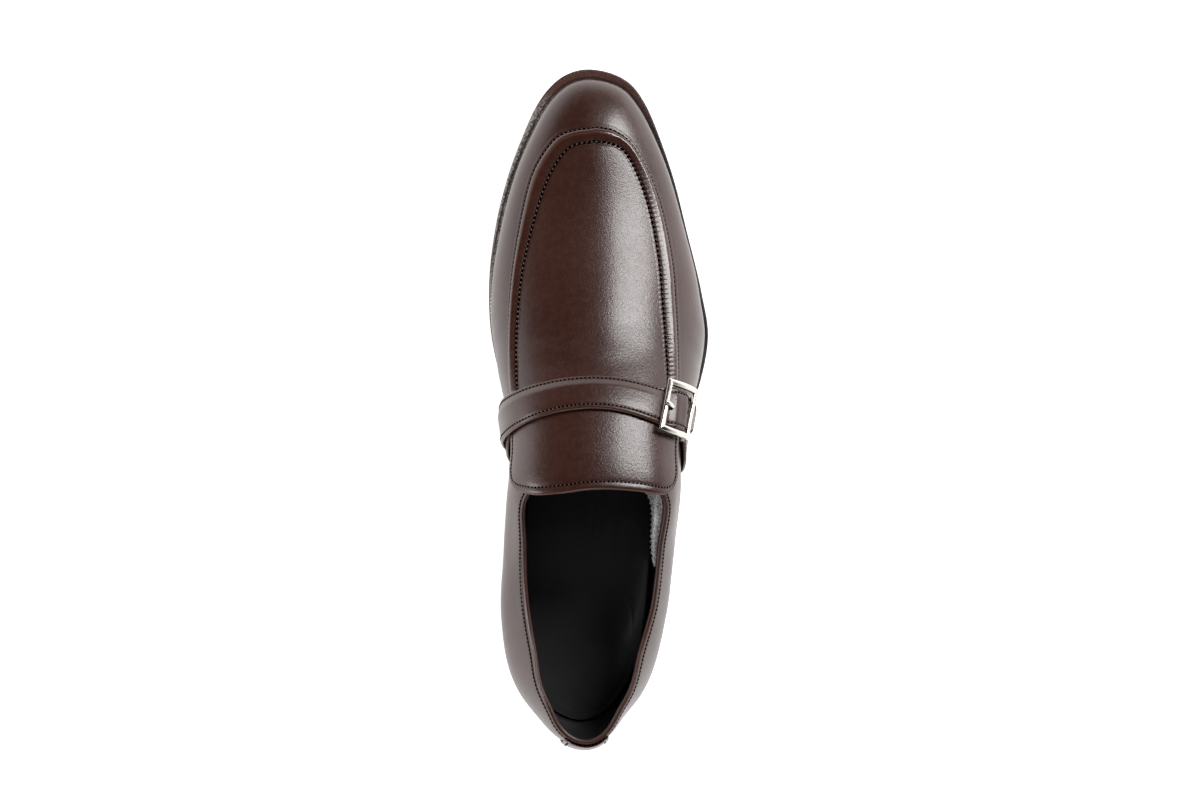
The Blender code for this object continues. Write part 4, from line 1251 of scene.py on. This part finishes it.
# Stitches: pitch, then length, width and height of thread and of the dark bead that paints shade in stitch
# holes
fineStitch = {"pitch": 0.0018, "size": (0.0010, 0.00042, 0.0005), "hole": (0.0011, 0.00090, 0.0007)}
seamStitch = {
    "pitch": 0.0023, "size": (0.0012, 0.0005, 0.0006), "hole": (0.0019, 0.0011, 0.0006), "slant": 0.4,
    "place": 1.0, "height": 0.00032,
}
outerStitch = {
    "pitch": 0.0021, "size": (0.0009, 0.0005, 0.0005), "hole": (0.0016, 0.0009, 0.0006), "slant": 0.25,
    "place": -0.01, "height": 0.00010,
}
facingStitch = {"pitch": 0.0024, "size": (0.0009, 0.0005, 0.0006), "hole": (0.0015, 0.0014, 0.0010)}
sunk = 0.00012  # how deep a fine stitch sits


def seamStitches():
    kept = (seamU > seamLook["ends"]) & (seamU < 1 - seamLook["ends"])
    for name, look in (("Outer", outerStitch), ("Inner", seamStitch)):
        across = seamOuter + look["place"] * (seamInner - seamOuter)
        stitchRow("seamStitches" + name, seamTurn[kept], across[kept], look["height"], look)


seamStitches()


def strapStitches():
    wide = strapLook["size"][0]
    v = np.linspace(0, 1, 400) * 0.985
    for name, u in (("Rear", strapLook["stitch"] / wide), ("Front", 1 - strapLook["stitch"] / wide)):
        side = np.full(v.shape, u)
        turn, across = strapWhere(side, v)
        height = strapBase(side, v) + sheets["strap"] - sunk
        stitchRow("strapStitches" + name, turn, across, height, fineStitch)


strapStitches()
liningFacing()


# The next punched opening in the strap's tail, a dark bead that paints the shade inside it
tailHoleLook = {"along": 0.0048, "width": 0.0024, "deep": 0.0008}


def tailHole():
    along, width = tailHoleLook["along"], tailHoleLook["width"]
    v = np.interp(buckle["across"] + along * acrossPerMetre, strapPlaces, strapSteps)
    top = float(strapBase(np.array([0.5]), np.array([v]))[0]) + sheets["strap"]
    near = 0.001
    line = onStrap(along + np.array([-near, 0, near]), np.zeros(3), top)
    beyond = onStrap(np.array([along]), np.array([near]), top)[0]
    tangent, side = Vector(line[2] - line[0]).normalized(), Vector(beyond - line[1]).normalized()
    body = bmesh.new()
    addBead(body, tangent, side, tangent.cross(side), line[1], (width, width, tailHoleLook["deep"]), 0)
    addPiece("tailHole", body, hole)


tailHole()


def tongueStitches():
    inset = tongueLook["stitch"]
    uIn, vIn = inset / tongueLook["size"][0], inset / tongueLook["size"][1]
    bend = 0.10
    leftSide = np.stack([np.full(120, uIn), np.linspace(0.1, 1 - vIn - bend, 120)], -1)
    angle = np.linspace(0, math.pi / 2, 40)
    cornerU = bend * tongueLook["size"][1] / tongueLook["size"][0]
    corner = np.stack([uIn + cornerU * (1 - np.cos(angle)), 1 - vIn - bend * (1 - np.sin(angle))], -1)
    rear = np.stack([np.linspace(uIn + cornerU, 1 - uIn - cornerU, 200), np.full(200, 1 - vIn)], -1)
    half = np.concatenate([leftSide, corner[1:]])
    other = half[::-1].copy()
    other[:, 0] = 1 - other[:, 0]
    line = np.concatenate([half, rear[1:-1], other])
    turn, across = tongueWhere(line[:, 0], line[:, 1])
    height = tongueBase(line[:, 0], line[:, 1]) + tongueLook["thick"] - sunk
    stitchRow("tongueStitches", turn, across, height, fineStitch)


tongueStitches()


def collarStitches():
    u = np.linspace(0.0, 1.0, 900)
    turn, across, _ = collarLine(u, 0.0, upperLook["stitchDrop"])
    stitchRow("collarStitches", turn, across, 0.00002, fineStitch)


collarStitches()


def tabStitches():
    height = shoe["gap"] + sheets["tab"] - 0.0001
    for side, name in ((-1, "Medial"), (1, "Lateral")):
        up = np.linspace(0.04, onSide(side, tongueLook["medial"], 2 - tongueLook["lateral"]) - 0.03, 200)
        share = curve(up, tabRows, onSide(side, 1, 2)) + tabLook["stitch"] / shoe["length"]
        stitchRow("tabStitches" + name, turnAt(share), onSide(side, up, 2 - up), height, fineStitch)


tabStitches()


def heelTabStitches():
    wide, long = heelTabLook["size"]
    a, b, top = heelTabLook["stitch"] / wide, heelTabLook["stitch"] / long, heelTabLook["stitchTop"]
    line = np.concatenate([
        np.stack([np.full(80, a), np.linspace(top, b, 80)], -1),
        np.stack([np.linspace(a, 1 - a, 60), np.full(60, b)], -1)[1:-1],
        np.stack([np.full(80, 1 - a), np.linspace(b, top, 80)], -1),
    ])
    turn, across = heelTabWhere(line[:, 0], line[:, 1])
    height = heelTabLook["lift"] + heelTabLook["thick"] - 0.0001
    stitchRow("heelTabStitches", turn, across, height, fineStitch)


heelTabStitches()
print("stitches ready")


# Studio: pale floor, soft lights, and the camera where the photograph was taken from
studio = {
    "cameraPlace": (-0.0577, -0.0072, 1.10),
    "aim": (0.000, 0.0, 0.030),
    "roll": math.radians(0.94),
    "lens": 70,
    "floor": (0.88, 0.88, 0.88, 1),
    "floorGlow": 0.85,
    "zenith": 0.03,
    "horizon": 1.5,
    "skyBand": (0.05, 0.32),  # sines of the heights between which the horizon's light fades
    "skyToRight": -0.35,
    "skyToFront": -0.55,
    # name, place, aim, direction of the long side, length, width, power
    "lights": [
        ("keyRight", (0.74, 0.80, 0.74), (0, 0, 0.03), (-0.495, 0.145, 0.353), 0.80, 0.36, 18),
        ("fillLeft", (-1.07, -0.06, 0.44), (0, 0, 0.05), (0, 1, 0), 0.60, 0.50, 7),
        ("fillBack", (-0.05, -1.00, 0.90), (0, -0.1, 0.05), (1, 0, 0), 0.70, 0.40, 3),
    ],
}


def turnedTo(spot, aim, across):
    back = (Vector(spot) - Vector(aim)).normalized()
    right = (Vector(across) - back * Vector(across).dot(back)).normalized()
    turned = Matrix((right, back.cross(right), back)).transposed().to_4x4()
    turned.translation = Vector(spot)
    return turned


def makeStudio():
    scene = bpy.context.scene
    scene.view_settings.view_transform = "Standard"
    body = bmesh.new()
    bmesh.ops.create_grid(body, x_segments=1, y_segments=1, size=6)
    mesh = bpy.data.meshes.new("floor")
    body.to_mesh(mesh)
    body.free()
    glow = {"Emission Color": (1, 1, 1, 1), "Emission Strength": studio["floorGlow"]}
    mesh.materials.append(plainFinish("floorPaint", studio["floor"], 0.6, glow))
    floor = bpy.data.objects.new("floor", mesh)
    floor.location.z = -0.0002
    scene.collection.objects.link(floor)

    world = bpy.data.worlds.new("studio")
    world.use_nodes = True
    sky = Nodes(world.node_tree)
    ray = sky.node("TexCoord", {}, {}, "Generated")
    x, y, z = [sky.node("SeparateXYZ", {}, {"Vector": ray}, axis) for axis in "XYZ"]
    low, high = studio["skyBand"]
    band = sky.node("MapRange", {}, {"Value": z, "From Min": low, "From Max": high,
                                     "To Min": studio["horizon"], "To Max": studio["zenith"]})
    ahead = sky.maths("SMOOTH_MAX", y, 0.0, 0.1)
    strength = (x * studio["skyToRight"] + 1.0) * (ahead * studio["skyToFront"] + 1.0) * band
    background = world.node_tree.nodes["Background"]
    background.inputs["Color"].default_value = (1, 1, 1, 1)
    sky.plug(strength, background.inputs["Strength"])
    scene.world = world

    for name, spot, aim, across, long, wide, power in studio["lights"]:
        lamp = bpy.data.lights.new(name, "AREA")
        lamp.shape = "RECTANGLE"
        lamp.size, lamp.size_y = long, wide
        lamp.energy = power
        light = bpy.data.objects.new(name, lamp)
        light.matrix_world = turnedTo(spot, aim, across)
        scene.collection.objects.link(light)

    lens = bpy.data.cameras.new("photoCamera")
    lens.lens = studio["lens"]
    lens.clip_end = 20
    camera = bpy.data.objects.new("photoCamera", lens)
    across = (math.cos(studio["roll"]), math.sin(studio["roll"]), 0)
    camera.matrix_world = turnedTo(studio["cameraPlace"], studio["aim"], across)
    scene.collection.objects.link(camera)
    scene.camera = camera


makeStudio()
print("studio ready")
